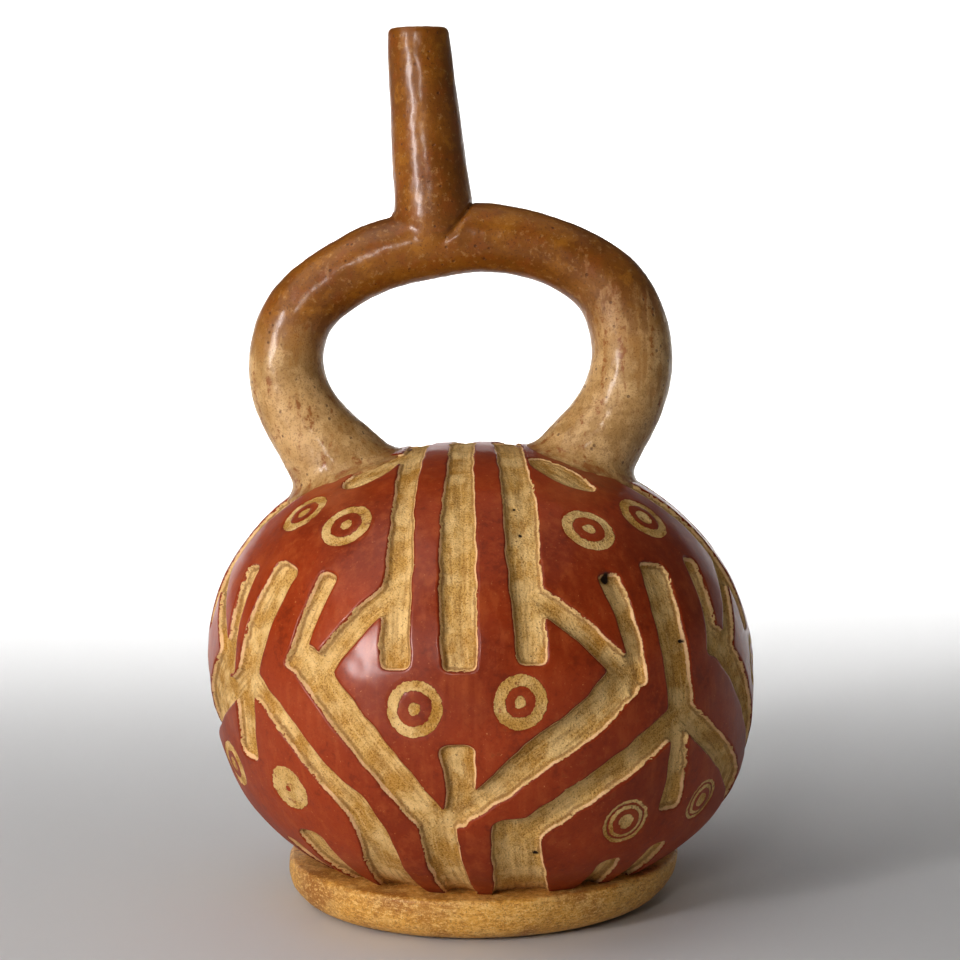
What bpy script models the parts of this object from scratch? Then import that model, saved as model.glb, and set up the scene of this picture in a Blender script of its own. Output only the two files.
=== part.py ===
"""Stirrup-spout bottle: a fired clay vessel with a carved round body on a ring foot.

The body is a flattened globe. Its red skin is cut away in broad strokes that form four standing
figures and the four forked staffs between them. Two hollow arms rise from the shoulders, meet in an
arch and carry one spout, so that the chamber, both arms and the spout are one open space.
Metres, +Z up, the front faces -Y, the origin is under the middle of the body.
"""

import math
from collections import namedtuple

import bmesh
import bpy
import numpy as np
from mathutils import Vector
from mathutils.geometry import delaunay_2d_cdt

# Body, a globe with its own curve above and below the widest ring
BODY_RADIUS = 0.0756
BODY_BASE_RADIUS = 0.0486   # where the body meets the foot
BODY_RISE = 0.0613          # from the widest ring up to the crown
BELLY_HEIGHT = 0.0530       # from the foot up to the widest ring
SHOULDER_FULLNESS = 2.11    # 2 is an ellipse, more is squarer
BELLY_FULLNESS = 2.43
BODY_BASE_COVER = 0.0045    # how far the body reaches down into the foot
CROWN_SHIFT = 0.0027        # how far the body leans to the left from the widest ring to the crown
WALL = 0.0060
FLOOR = 0.0078

# Foot
FOOT_HEIGHT = 0.0125
FOOT_LEDGE = 0.0058         # how far the foot stands out from the body's base
FOOT_TOP_ROUNDING = 0.0020
FOOT_ROLL_REACH = 1.15      # how much further the lower edge rolls inwards than upwards
FOOT_SKEW = 0.0013          # how far left the standing ring sits of the foot's top
STANDING_RING = 0.0043      # width of the flat ring that it stands on
FOOT_RECESS_DEPTH = 0.0030
FOOT_RECESS_SLOPE = 0.0015

# Stirrup, an arch of tube in the plane of the X and Z axes
STIRRUP_CENTRE_X = -0.0050
STIRRUP_HALF_SPAN = 0.0482
STIRRUP_ROOT_SINK = 0.0138  # how far below the crown the arms end, inside the body's wall
STIRRUP_RISE = 0.0565       # from the crown to the middle of the tube at the top of the arch
TUBE_RADIUS = 0.0105
TUBE_WALL = 0.0053

# Stations from an arm's root up to the arch, as shares of the half span, of the height from root
# to top, and of the tube's radius. The potter's two arms differ, so each has its own.
LEFT_ARM = ((0.60, 0.000, 1.50), (0.69, 0.107, 1.32), (0.83, 0.228, 1.11), (0.94, 0.344, 1.04),
            (1.00, 0.505, 0.98), (0.93, 0.700, 0.95), (0.745, 0.822, 0.885), (0.477, 0.923, 0.91))
RIGHT_ARM = ((0.635, 0.000, 1.50), (0.710, 0.114, 1.32), (0.846, 0.242, 1.12), (0.954, 0.376, 1.09),
             (1.00, 0.555, 1.07), (0.90, 0.775, 0.98), (0.753, 0.868, 0.90), (0.498, 0.955, 0.86))
ARCH_TOP = (0.08, 1.000, 0.91)

# Spout
SPOUT_LENGTH = 0.0567       # from the middle of the tube up to the rim
SPOUT_OFFSET = -0.0058      # sideways from the stirrup's middle
SPOUT_TOP_SHIFT = -0.0042   # the spout leans this far on its way up
SPOUT_TOP_RADIUS = 0.0083
SPOUT_BASE_RADIUS = 0.0109
SPOUT_TAPER_START = 0.0055  # height above the middle of the tube at which the taper starts
SPOUT_SEAT = 0.0010         # its hidden end keeps this far inside the tube
SPOUT_END_DROP = 0.0030
SPOUT_WALL = 0.0033
LIP_FLARE = 0.0014

# Carving
CARVE_DEPTH = 0.0018
CROWN_CARVE_DEPTH = 0.0006
CARVE_DEEPENS = (0.10, 0.40)                    # shares of the way down between which it deepens
FIGURE_AZIMUTHS = (-97.0, -5.0, 89.0, 176.0)    # degrees round from the front, right side positive
FIGURE_PITCH = 94.0                             # degrees that a figure and a staff take as drawn
STRIPE_CROWN_X = (-0.0138, -0.0015, 0.0105)     # where the stripes cross over the crown
ARM_EDGE_DOWN = 25.0                            # where the side figures' stripes start, at the arms

STROKE_END_SHARE = 0.45     # width left at a stroke's very end, where its corners are taken off
STROKE_CORNER = 0.30        # length of that corner, as a share of the width
SHARPEST_MITRE = 0.5

# Worked out from the sizes above
WIDEST_HEIGHT = FOOT_HEIGHT + BELLY_HEIGHT
CROWN_HEIGHT = WIDEST_HEIGHT + BODY_RISE
BELLY_SHARE = (1 - (BODY_BASE_RADIUS / BODY_RADIUS) ** BELLY_FULLNESS) ** (1 / BELLY_FULLNESS)
BODY_DROP = BELLY_HEIGHT / BELLY_SHARE          # down to where the belly's curve would close
FOOT_RADIUS = BODY_BASE_RADIUS + FOOT_LEDGE
FOOT_ROLL = FOOT_HEIGHT - FOOT_TOP_ROUNDING     # height of the rolled lower edge
FOOT_RECESS_RADIUS = FOOT_RADIUS - FOOT_ROLL * FOOT_ROLL_REACH - STANDING_RING - FOOT_RECESS_SLOPE
STIRRUP_ROOT_HEIGHT = CROWN_HEIGHT - STIRRUP_ROOT_SINK
STIRRUP_TOP_HEIGHT = CROWN_HEIGHT + STIRRUP_RISE
ARM_BORE_RADIUS = TUBE_RADIUS - TUBE_WALL
RIM_HEIGHT = STIRRUP_TOP_HEIGHT + SPOUT_LENGTH
SPOUT_BORE_RADIUS = SPOUT_TOP_RADIUS - SPOUT_WALL
LIP_ROUNDING = SPOUT_WALL / 2

# Facets
FACET = 0.0095
CUT_EDGE = 0.0085
LONGEST_SPAN = 0.0110       # of the stretch that one point less leaves along an edge
SHORTEST_EDGE = 0.0012
FACET_CLEAR = 0.0040        # how far the body's own points stay from the edge of a stroke
BEND_ANGLE = 7.0
SHARP_ANGLE = 35.0
MERIDIAN_SAMPLES = 1600
LATHE_SIDES = 56
CHAMBER_SIDES = 36
CHAMBER_ROWS = 14
SPOUT_SIDES = 20
BORE_SIDES = 12
FOOT_STEPS = 5
LIP_STEPS = 3
TUBE_BEVEL_STEPS = 6
BORE_BEVEL_STEPS = 3
PLAN_MERGE = 0.0000001
MERGE = 0.00001
SEAM_WELD = 0.00004

# A stroke's points are (degrees from the motif's middle, percent of the way from crown to base
# crease), and its widths are in metres, one for each point.
Stroke = namedtuple("Stroke", "points widths")

STRIPES = (
    Stroke(((-27.5, 17.5), (-16.6, 29.1), (-12.5, 41.0), (-11.5, 57.2)),
           (0.0064, 0.0060, 0.0074, 0.0082)),
    Stroke(((0.6, 17.5), (1.2, 29.1), (1.4, 41.0), (1.3, 57.2)),
           (0.0072, 0.0088, 0.0096, 0.0092)),
    Stroke(((28.2, 17.5), (20.4, 29.1), (16.5, 41.0), (15.2, 56.6)),
           (0.0080, 0.0092, 0.0088, 0.0080)),
)

FIGURE = (
    Stroke(((-13.0, 45.5), (-26.5, 56.5)), (0.0062, 0.0066)),                               # left arm
    Stroke(((-29.5, 43.0), (-33.0, 53.0), (-35.5, 58.5)), (0.0062, 0.0055, 0.0050)),        # left hand
    Stroke(((-33.5, 55.8), (-22.0, 64.9), (-13.0, 73.4), (-5.5, 81.5)),
           (0.0094, 0.0096, 0.0094, 0.0090)),                                               # left leg
    Stroke(((-5.5, 79.0), (-5.8, 88.0), (-5.0, 103.0)), (0.0098, 0.0096, 0.0086)),          # lower stem
    Stroke(((17.0, 46.2), (32.0, 56.8)), (0.0064, 0.0066)),                                 # right arm
    Stroke(((35.5, 43.5), (36.8, 53.0), (37.0, 61.0)), (0.0070, 0.0058, 0.0058)),           # right hand
    Stroke(((35.5, 58.9), (25.0, 65.2), (15.0, 69.9), (6.5, 75.1), (-1.5, 79.5)),
           (0.0104, 0.0094, 0.0088, 0.0068, 0.0050)),                                       # right leg
    Stroke(((-0.2, 67.8), (0.0, 75.0), (-2.0, 81.0)), (0.0098, 0.0072, 0.0064)),            # nose
)

STAFF_RIGHT = (
    Stroke(((2.8, 42.6), (0.3, 52.4), (0.2, 66.5)), (0.0096, 0.0096, 0.0094)),              # staff
    Stroke(((-0.5, 65.5), (-0.5, 81.5)), (0.0060, 0.0082)),                                 # middle prong
    Stroke(((0.0, 66.2), (-12.0, 71.4), (-22.0, 76.0), (-31.0, 80.6)),
           (0.0074, 0.0076, 0.0076, 0.0080)),                                               # left prong
    Stroke(((-36.0, 81.0), (-36.0, 88.0), (-33.0, 103.0)), (0.0125, 0.0132, 0.0158)),       # left channel
    Stroke(((1.0, 66.2), (10.0, 71.3), (20.0, 76.9), (29.0, 82.2), (31.0, 88.0), (29.0, 103.0)),
           (0.0074, 0.0076, 0.0080, 0.0084, 0.0100, 0.0150)),                               # right prong
    Stroke(((-12.0, 90.0), (-11.0, 103.0)), (0.0066, 0.0080)),                              # left toe
    Stroke(((2.0, 88.5), (2.0, 103.0)), (0.0070, 0.0084)),                                  # right toe
)

STAFF_LEFT = (
    Stroke(((3.6, 42.2), (0.0, 52.4), (-2.5, 61.0)), (0.0108, 0.0106, 0.0100)),             # staff
    Stroke(((-2.8, 60.0), (-5.0, 73.8)), (0.0094, 0.0086)),                                 # middle prong
    Stroke(((-2.5, 60.6), (-10.0, 63.8), (-20.0, 68.2), (-28.0, 71.8), (-35.0, 76.5),
            (-39.0, 82.0), (-38.0, 88.0), (-33.0, 103.0)),
           (0.0064, 0.0064, 0.0066, 0.0070, 0.0080, 0.0115, 0.0130, 0.0153)),               # left prong
    Stroke(((-1.0, 60.8), (9.0, 66.7), (17.5, 73.7), (24.5, 79.4), (26.0, 86.0), (22.0, 103.0)),
           (0.0060, 0.0062, 0.0064, 0.0088, 0.0100, 0.0163)),                               # right prong
    Stroke(((6.5, 85.0), (6.5, 103.0)), (0.0098, 0.0090)),                                  # right toe
    Stroke(((-6.5, 89.0), (-7.5, 103.0)), (0.0076, 0.0086)),                                # left toe
)

# Leaf-shaped nicks beside the roots of the arms, from the crown side down to their tips
LEAVES = (
    Stroke(((-55.0, 12.7), (-45.2, 19.2), (-46.2, 23.0), (-50.5, 25.0)),
           (0.0040, 0.0080, 0.0080, 0.0036)),
    Stroke(((49.0, 14.9), (47.0, 19.1), (48.8, 23.9), (52.4, 27.2)),
           (0.0036, 0.0076, 0.0076, 0.0024)),
)


class Globe:
    """The body's meridian from the crown down, and the flat plan that keeps its angles."""

    def __init__(self, radius, rise, drop, floor_height):
        upper = np.linspace(math.pi / 2, 0.0, MERIDIAN_SAMPLES)
        lower = np.linspace(0.0, math.pi / 2, MERIDIAN_SAMPLES)[1:]
        height = np.concatenate([
            WIDEST_HEIGHT + rise * np.sin(upper) ** (2 / SHOULDER_FULLNESS),
            WIDEST_HEIGHT - drop * np.sin(lower) ** (2 / BELLY_FULLNESS)])
        reach = np.concatenate([
            radius * np.cos(upper) ** (2 / SHOULDER_FULLNESS),
            radius * np.cos(lower) ** (2 / BELLY_FULLNESS)])
        reach[0] = 0.0
        kept = height >= floor_height
        self.height = height[kept]
        self.reach = reach[kept]
        steps = np.hypot(np.diff(self.height), np.diff(self.reach))
        self.down = np.concatenate([[0.0], np.cumsum(steps)])
        middle = (self.reach[1:] + self.reach[:-1]) / 2
        spread = np.cumsum(steps[1:] / middle[1:])
        self.plan_radius = np.concatenate([[0.0, self.down[1]], self.down[1] * np.exp(spread)])
        self.out_reach = -np.gradient(self.height, self.down)
        self.out_height = np.gradient(self.reach, self.down)

    def at_height(self, height):
        """Distance down the meridian to a height below the crown."""
        return float(np.interp(-height, -self.height, self.down))

    def plan(self, azimuth, down):
        """Place in the flat plan of a point given in radians round and metres down."""
        radius = float(np.interp(down, self.down, self.plan_radius))
        return Vector((radius * math.sin(azimuth), -radius * math.cos(azimuth)))

    def plan_scale(self, place):
        """How much larger the plan is than the clay at a place in the plan."""
        down = max(self.down_of(place), self.down[1])
        spread = np.interp(down, self.down, self.plan_radius)
        return float(spread / np.interp(down, self.down, self.reach))

    def down_of(self, place):
        """Distance down the meridian to a place in the plan."""
        return float(np.interp(place.length, self.plan_radius, self.down))

    def surface(self, place, depth=0.0):
        """Point in space that lies at a place in the plan, sunk into the clay by a depth."""
        down = self.down_of(place)
        azimuth = math.atan2(place.x, -place.y)
        reach = np.interp(down, self.down, self.reach - depth * self.out_reach)
        height = np.interp(down, self.down, self.height - depth * self.out_height)
        across = reach * math.sin(azimuth) + lean_at(height)
        return Vector((across, -reach * math.cos(azimuth), height))


def carve_depth(share_down):
    """Depth of the strokes, shallow at the crown and full from the shoulder down."""
    start, end = CARVE_DEEPENS
    deepening = min(max((share_down - start) / (end - start), 0.0), 1.0)
    return CROWN_CARVE_DEPTH + (CARVE_DEPTH - CROWN_CARVE_DEPTH) * deepening


def lean_at(height):
    """Sideways place of the body's middle at a height."""
    return CROWN_SHIFT * (WIDEST_HEIGHT - height) / BODY_RISE


def stroke_middle(globe, points, widths):
    """Middle line of a stroke in the plan as (place, width), in steps of about one cut edge."""
    middle = []
    for (start, end), (wide, narrow) in zip(zip(points, points[1:]), zip(widths, widths[1:])):
        run = end - start
        steps = max(1, round(run.length / globe.plan_scale((start + end) / 2) / CUT_EDGE))
        middle += [(start + run * k / steps, wide + (narrow - wide) * k / steps) for k in range(steps)]
    middle.append((points[-1], widths[-1]))
    return middle


def stroke_outline(globe, points, widths):
    """Closed outline in the plan of one gouge stroke, with its corners taken off."""
    middle = stroke_middle(globe, points, widths)
    left, right = [], []
    for k, (place, width) in enumerate(middle):
        before = middle[max(k - 1, 0)][0]
        after = middle[min(k + 1, len(middle) - 1)][0]
        incoming = (place - before).normalized() if k else (after - place).normalized()
        outgoing = (after - place).normalized() if k + 1 < len(middle) else incoming
        along = (incoming + outgoing).normalized()
        across = Vector((-along.y, along.x))
        scale = globe.plan_scale(place)
        reach = across * width / 2 * scale / max(along.dot(incoming), SHARPEST_MITRE)
        if 0 < k < len(middle) - 1:
            left.append(place + reach)
            right.append(place - reach)
            continue
        inward = along * STROKE_CORNER * width * scale * (1 if k == 0 else -1)
        tip = [place + reach * STROKE_END_SHARE, place - reach * STROKE_END_SHARE]
        side = [place + reach + inward, place - reach + inward]
        for pair in (tip, side) if k == 0 else (side, tip):
            left.append(pair[0])
            right.append(pair[1])
    return right + left[::-1]


def carved_outlines(globe):
    """Outlines in the plan of every stroke on the body."""
    full = globe.at_height(FOOT_HEIGHT)

    def laid(stroke, turn, scale_left, scale_right, extra=()):
        points = list(extra)
        for degrees, percent in stroke.points:
            scale = scale_left if degrees < 0 else scale_right
            points.append(globe.plan(math.radians(turn + degrees * scale), full * percent / 100))
        widths = [stroke.widths[0]] * len(extra) + list(stroke.widths)
        return stroke_outline(globe, points, widths)

    outlines = []
    count = len(FIGURE_AZIMUTHS)
    for k, turn in enumerate(FIGURE_AZIMUTHS):
        gap_left = (turn - FIGURE_AZIMUTHS[k - 1]) % 360
        gap_right = (FIGURE_AZIMUTHS[(k + 1) % count] - turn) % 360
        scales = (gap_left / FIGURE_PITCH, gap_right / FIGURE_PITCH)
        forward = math.cos(math.radians(turn))
        faces_front_or_back = abs(forward) > abs(math.sin(math.radians(turn)))
        side = 1 if forward > 0 else -1
        for place, stripe in enumerate(STRIPES):
            if faces_front_or_back:
                crossing = STRIPE_CROWN_X[::side][place]
                start = globe.plan(math.copysign(math.pi / 2, crossing), abs(crossing))
                outlines.append(laid(stripe, turn, *scales, extra=(start,)))
            else:
                cut = Stroke(((stripe.points[1][0], ARM_EDGE_DOWN),) + stripe.points[1:],
                             (stripe.widths[1],) + stripe.widths[1:])
                outlines.append(laid(cut, turn, *scales))
        outlines += [laid(stroke, turn, *scales) for stroke in FIGURE]
        if faces_front_or_back:
            outlines += [laid(leaf, turn, 1.0, 1.0) for leaf in LEAVES]
        staff = STAFF_RIGHT if faces_front_or_back else STAFF_LEFT
        outlines += [laid(stroke, turn + gap_right / 2, scales[1], scales[1]) for stroke in staff]
    return outlines


def signed_area(loop):
    """Area of a loop in the plan, positive when it runs anticlockwise."""
    return sum(a.x * b.y - b.x * a.y for a, b in zip(loop, loop[1:] + loop[:1])) / 2


def merged_loops(globe, outlines):
    """Edge of the carved ground: the outlines joined where they overlap, as closed loops."""
    points, faces = [], []
    for outline in outlines:
        ordered = outline if signed_area(outline) > 0 else outline[::-1]
        faces.append(list(range(len(points), len(points) + len(ordered))))
        points += ordered
    places, _, triangles, _, _, sources = delaunay_2d_cdt(points, [], faces, 0, PLAN_MERGE)
    following = {}
    inner = {}
    for triangle, source in zip(triangles, sources):
        for a, b in zip(triangle, triangle[1:] + triangle[:1]):
            inner[(a, b)] = bool(source)
    for (a, b), carved in inner.items():
        if carved and not inner.get((b, a), False):
            following.setdefault(a, []).append(b)
    loops = []
    while following:
        start = next(iter(following))
        loop = [start]
        here = start
        while True:
            ahead = following[here].pop()
            if not following[here]:
                del following[here]
            if ahead == start:
                break
            loop.append(ahead)
            here = ahead
        loops.append(tidy_loop(globe, [places[k] for k in loop]))
    return [loop for loop in loops if len(loop) > 2]


def tidy_loop(globe, loop):
    """The same loop without points that are too close, or that lie on a straight run."""
    kept = []
    for place in loop:
        if kept and (place - kept[-1]).length / globe.plan_scale(place) < SHORTEST_EDGE:
            continue
        kept.append(place)
    while len(kept) > 2 and (kept[0] - kept[-1]).length / globe.plan_scale(kept[0]) < SHORTEST_EDGE:
        kept.pop()
    changed = True
    while changed and len(kept) > 3:
        changed = False
        for k in range(len(kept)):
            before, here, after = kept[k - 1], kept[k], kept[(k + 1) % len(kept)]
            turn = (here - before).angle(after - here)
            span = (after - before).length / globe.plan_scale(here)
            if turn < math.radians(BEND_ANGLE) and span < LONGEST_SPAN:
                del kept[k]
                changed = True
                break
    return kept


def open_points(globe, loops):
    """Points of an even net over the body that are clear of the strokes' edges."""
    starts = np.array([place for loop in loops for place in loop])
    ends = np.array([place for loop in loops for place in loop[1:] + loop[:1]])
    along = ends - starts
    points = []
    rows = round(globe.down[-1] / FACET)
    for row in range(1, rows):
        down = globe.down[-1] * row / rows
        ring = 2 * math.pi * float(np.interp(down, globe.down, globe.reach))
        count = max(6, round(ring / FACET))
        for k in range(count):
            place = globe.plan(2 * math.pi * (k + row % 2 / 2) / count, down)
            here = np.array(place)
            share = np.clip(((here - starts) * along).sum(1) / (along ** 2).sum(1), 0, 1)
            nearest = np.hypot(*(here - starts - share[:, None] * along).T).min()
            if nearest > FACET_CLEAR * globe.plan_scale(place):
                points.append(place)
    return points


def carved_body(name):
    """Closed mesh of the body, its skin at full size and the strokes sunk into it."""
    globe = Globe(BODY_RADIUS, BODY_RISE, BODY_DROP, FOOT_HEIGHT - BODY_BASE_COVER)
    loops = merged_loops(globe, carved_outlines(globe))
    points, faces = [], []
    for loop in loops:
        indices = list(range(len(points), len(points) + len(loop)))
        faces.append(indices if signed_area(loop) > 0 else indices[::-1])
        points += loop
    points += open_points(globe, loops)
    faces.append(list(range(len(points), len(points) + LATHE_SIDES)))
    for k in range(LATHE_SIDES):
        points.append(globe.plan(2 * math.pi * k / LATHE_SIDES, globe.down[-1]))
    places, _, triangles, _, _, sources = delaunay_2d_cdt(points, [], faces, 1, PLAN_MERGE)
    disc = len(faces) - 1
    carved = [sum(1 for face in source if face != disc) % 2 == 1 for source in sources]

    shape = bmesh.new()
    top, floor = {}, {}

    def corner(index, sunk):
        store = floor if sunk else top
        if index not in store:
            depth = carve_depth(globe.down_of(places[index]) / globe.down[-1]) if sunk else 0.0
            store[index] = shape.verts.new(globe.surface(places[index], depth))
        return store[index]

    owner = {}
    for triangle, sunk in zip(triangles, carved):
        shape.faces.new([corner(index, sunk) for index in triangle])
        for a, b in zip(triangle, triangle[1:] + triangle[:1]):
            owner[(a, b)] = sunk
    for (a, b), sunk in owner.items():
        if sunk and owner.get((b, a)) is False:
            shape.faces.new([corner(a, False), corner(b, False), corner(b, True), corner(a, True)])
    bmesh.ops.holes_fill(shape, edges=[edge for edge in shape.edges if edge.is_boundary])
    return mesh_object(name, shape)


def mesh_object(name, shape):
    """Object for a finished bmesh, shaded smooth apart from its real edges."""
    bmesh.ops.recalc_face_normals(shape, faces=shape.faces)
    bmesh.ops.triangulate(shape, faces=shape.faces)
    mesh = bpy.data.meshes.new(name)
    shape.to_mesh(mesh)
    shape.free()
    mesh.shade_smooth()
    mesh.set_sharp_from_angle(angle=math.radians(SHARP_ANGLE))
    made = bpy.data.objects.new(name, mesh)
    bpy.context.collection.objects.link(made)
    return made


def turned(name, profile, sides, middle=lambda height: 0.0):
    """Solid turned about Z from a profile of (radius, height), each ring set on its own middle."""
    shape = bmesh.new()
    corners = [shape.verts.new((radius, 0, height)) for radius, height in profile]
    edges = [shape.edges.new(pair) for pair in zip(corners, corners[1:])]
    bmesh.ops.spin(shape, geom=corners + edges, cent=(0, 0, 0), axis=(0, 0, 1), angle=2 * math.pi,
                   steps=sides, use_merge=True)
    bmesh.ops.remove_doubles(shape, verts=shape.verts, dist=MERGE)
    for vert in shape.verts:
        vert.co.x += middle(vert.co.z)
    return mesh_object(name, shape)


def foot_middle(height):
    """Sideways place of the foot's middle at a height."""
    return FOOT_SKEW * (height / FOOT_HEIGHT - 1)


def foot(name):
    """Round foot with a rolled lower edge, a standing ring and a shallow recess underneath."""
    profile = [(0, FOOT_HEIGHT)]
    for step in range(3):
        angle = math.pi / 4 * step
        profile.append((FOOT_RADIUS - FOOT_TOP_ROUNDING * (1 - math.sin(angle)),
                        FOOT_HEIGHT - FOOT_TOP_ROUNDING * (1 - math.cos(angle))))
    for step in range(FOOT_STEPS + 1):
        angle = math.pi / 2 * step / FOOT_STEPS
        rolled_in = FOOT_ROLL * FOOT_ROLL_REACH * (1 - math.cos(angle))
        profile.append((FOOT_RADIUS - rolled_in, FOOT_ROLL * (1 - math.sin(angle))))
    profile += [(FOOT_RECESS_RADIUS + FOOT_RECESS_SLOPE, 0),
                (FOOT_RECESS_RADIUS, FOOT_RECESS_DEPTH), (0, FOOT_RECESS_DEPTH)]
    return turned(name, profile, LATHE_SIDES, foot_middle)


def chamber(name):
    """Hollow of the body: its own curve, one wall inside the skin and above the foot's floor."""
    floor_height = FOOT_RECESS_DEPTH + FLOOR
    hollow = Globe(BODY_RADIUS - WALL, BODY_RISE - WALL, WIDEST_HEIGHT - floor_height, 0.0)
    profile = []
    for row in range(CHAMBER_ROWS + 1):
        down = hollow.down[-1] * row / CHAMBER_ROWS
        profile.append((float(np.interp(down, hollow.down, hollow.reach)),
                        float(np.interp(down, hollow.down, hollow.height))))
    profile[0] = (0, profile[0][1])
    profile[-1] = (0, profile[-1][1])
    return turned(name, profile, CHAMBER_SIDES, lean_at)


def arch_stations(reach_in):
    """Points of the stirrup's middle line as (x, height, share of the tube's radius)."""
    def placed(side, station):
        span, rise, share = station
        height = STIRRUP_ROOT_HEIGHT + rise * (STIRRUP_TOP_HEIGHT - STIRRUP_ROOT_HEIGHT)
        return STIRRUP_CENTRE_X + side * span * STIRRUP_HALF_SPAN, height, share

    stations = [placed(-1, station) for station in LEFT_ARM]
    stations.append(placed(1, ARCH_TOP))
    stations += [placed(1, station) for station in RIGHT_ARM[::-1]]
    for end in (0, -1):
        x, height, share = stations[end]
        stations[end] = (x, height - reach_in, share)
    return stations


def arch(name, bevel_steps, radius, even=False, reach_in=0.0):
    """Tube along the stirrup, of one even radius or with the swell of the arms."""
    data = bpy.data.curves.new(name, "CURVE")
    data.dimensions = "3D"
    data.bevel_depth = radius
    data.bevel_resolution = bevel_steps
    data.use_fill_caps = True
    data.resolution_u = 2
    spline = data.splines.new("BEZIER")
    stations = arch_stations(reach_in)
    spline.bezier_points.add(len(stations) - 1)
    for point, (x, height, share) in zip(spline.bezier_points, stations):
        point.co = (x, 0, height)
        point.radius = 1.0 if even else share
        point.handle_left_type = point.handle_right_type = "AUTO"
    curve = bpy.data.objects.new(name + "_path", data)
    bpy.context.collection.objects.link(curve)
    shape = bmesh.new()
    shape.from_mesh(curve.to_mesh())
    bpy.data.objects.remove(curve)
    bmesh.ops.remove_doubles(shape, verts=shape.verts, dist=MERGE)
    return mesh_object(name, shape)


def spout_middle(height):
    """Sideways place of the leaning spout at a height."""
    share = (height - STIRRUP_TOP_HEIGHT) / SPOUT_LENGTH
    return STIRRUP_CENTRE_X + SPOUT_OFFSET + SPOUT_TOP_SHIFT * share


def spout(name):
    """Tapered spout with a rounded lip, from inside the tube of the arch to the rim."""
    lip_height = RIM_HEIGHT - LIP_ROUNDING
    profile = [(0, RIM_HEIGHT)]
    for step in range(LIP_STEPS + 1):
        angle = math.pi / 2 * step / LIP_STEPS
        profile.append((SPOUT_TOP_RADIUS - LIP_ROUNDING + LIP_ROUNDING * math.sin(angle),
                        lip_height + LIP_ROUNDING * math.cos(angle)))
    end = STIRRUP_TOP_HEIGHT - SPOUT_END_DROP
    end_radius = TUBE_RADIUS * ARCH_TOP[-1] - SPOUT_SEAT
    profile += [(SPOUT_BASE_RADIUS, STIRRUP_TOP_HEIGHT + SPOUT_TAPER_START),
                (end_radius, end), (0, end)]
    return turned(name, profile, SPOUT_SIDES, spout_middle)


def spout_bore(name):
    """Hole down the spout, flared a little at the rim, into the bore of the arch."""
    clear = RIM_HEIGHT + LIP_ROUNDING
    profile = [(0, clear), (SPOUT_BORE_RADIUS + 2 * LIP_FLARE, clear),
               (SPOUT_BORE_RADIUS, RIM_HEIGHT - LIP_ROUNDING),
               (SPOUT_BORE_RADIUS, STIRRUP_TOP_HEIGHT), (0, STIRRUP_TOP_HEIGHT)]
    return turned(name, profile, BORE_SIDES, spout_middle)


def combine(target, tool, operation):
    """Add a tool's shape to the target, or take it away, and keep the tool only as a guide."""
    cut = target.modifiers.new(tool.name, "BOOLEAN")
    cut.operation = operation
    cut.solver = "EXACT"
    cut.object = tool
    tool.hide_render = True
    tool.display_type = "WIRE"


def fired_clay():
    """Burnished red slip over fired clay."""
    material = bpy.data.materials.new("red slip on clay")
    material.use_nodes = True
    shader = material.node_tree.nodes["Principled BSDF"]
    shader.inputs["Base Color"].default_value = (0.33, 0.065, 0.022, 1.0)
    shader.inputs["Roughness"].default_value = 0.35
    shader.inputs["Metallic"].default_value = 0.0
    return material


def main():
    for old in list(bpy.data.objects):
        bpy.data.objects.remove(old)
    bottle = carved_body("stirrup_spout_bottle")
    bottle.data.materials.append(fired_clay())
    combine(bottle, foot("foot_ring"), "UNION")
    combine(bottle, arch("stirrup_tube", TUBE_BEVEL_STEPS, TUBE_RADIUS), "UNION")
    combine(bottle, spout("spout_cone"), "UNION")
    combine(bottle, chamber("chamber_hollow"), "DIFFERENCE")
    combine(bottle, arch("stirrup_bore", BORE_BEVEL_STEPS, ARM_BORE_RADIUS, True, WALL), "DIFFERENCE")
    combine(bottle, spout_bore("spout_hole"), "DIFFERENCE")
    weld = bottle.modifiers.new("weld", "WELD")
    weld.merge_threshold = SEAM_WELD


main()
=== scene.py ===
"""Looks of a stirrup-spout bottle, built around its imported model.

The body is a burnished red skin with broad strokes cut through it to the pale clay. The stirrup
and its spout are one blended tube, and the foot is a rolled ring of grainy ochre clay. The shapes
are worked out in millimetres of the real bottle and set to the frame's size at the very end.
"""

import logging
import math
from collections.abc import Callable
from dataclasses import dataclass, field
from enum import Enum

import bpy
import numpy as np
from mathutils import Matrix, Vector
from mathutils.geometry import delaunay_2d_cdt
from mathutils.kdtree import KDTree


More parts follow.
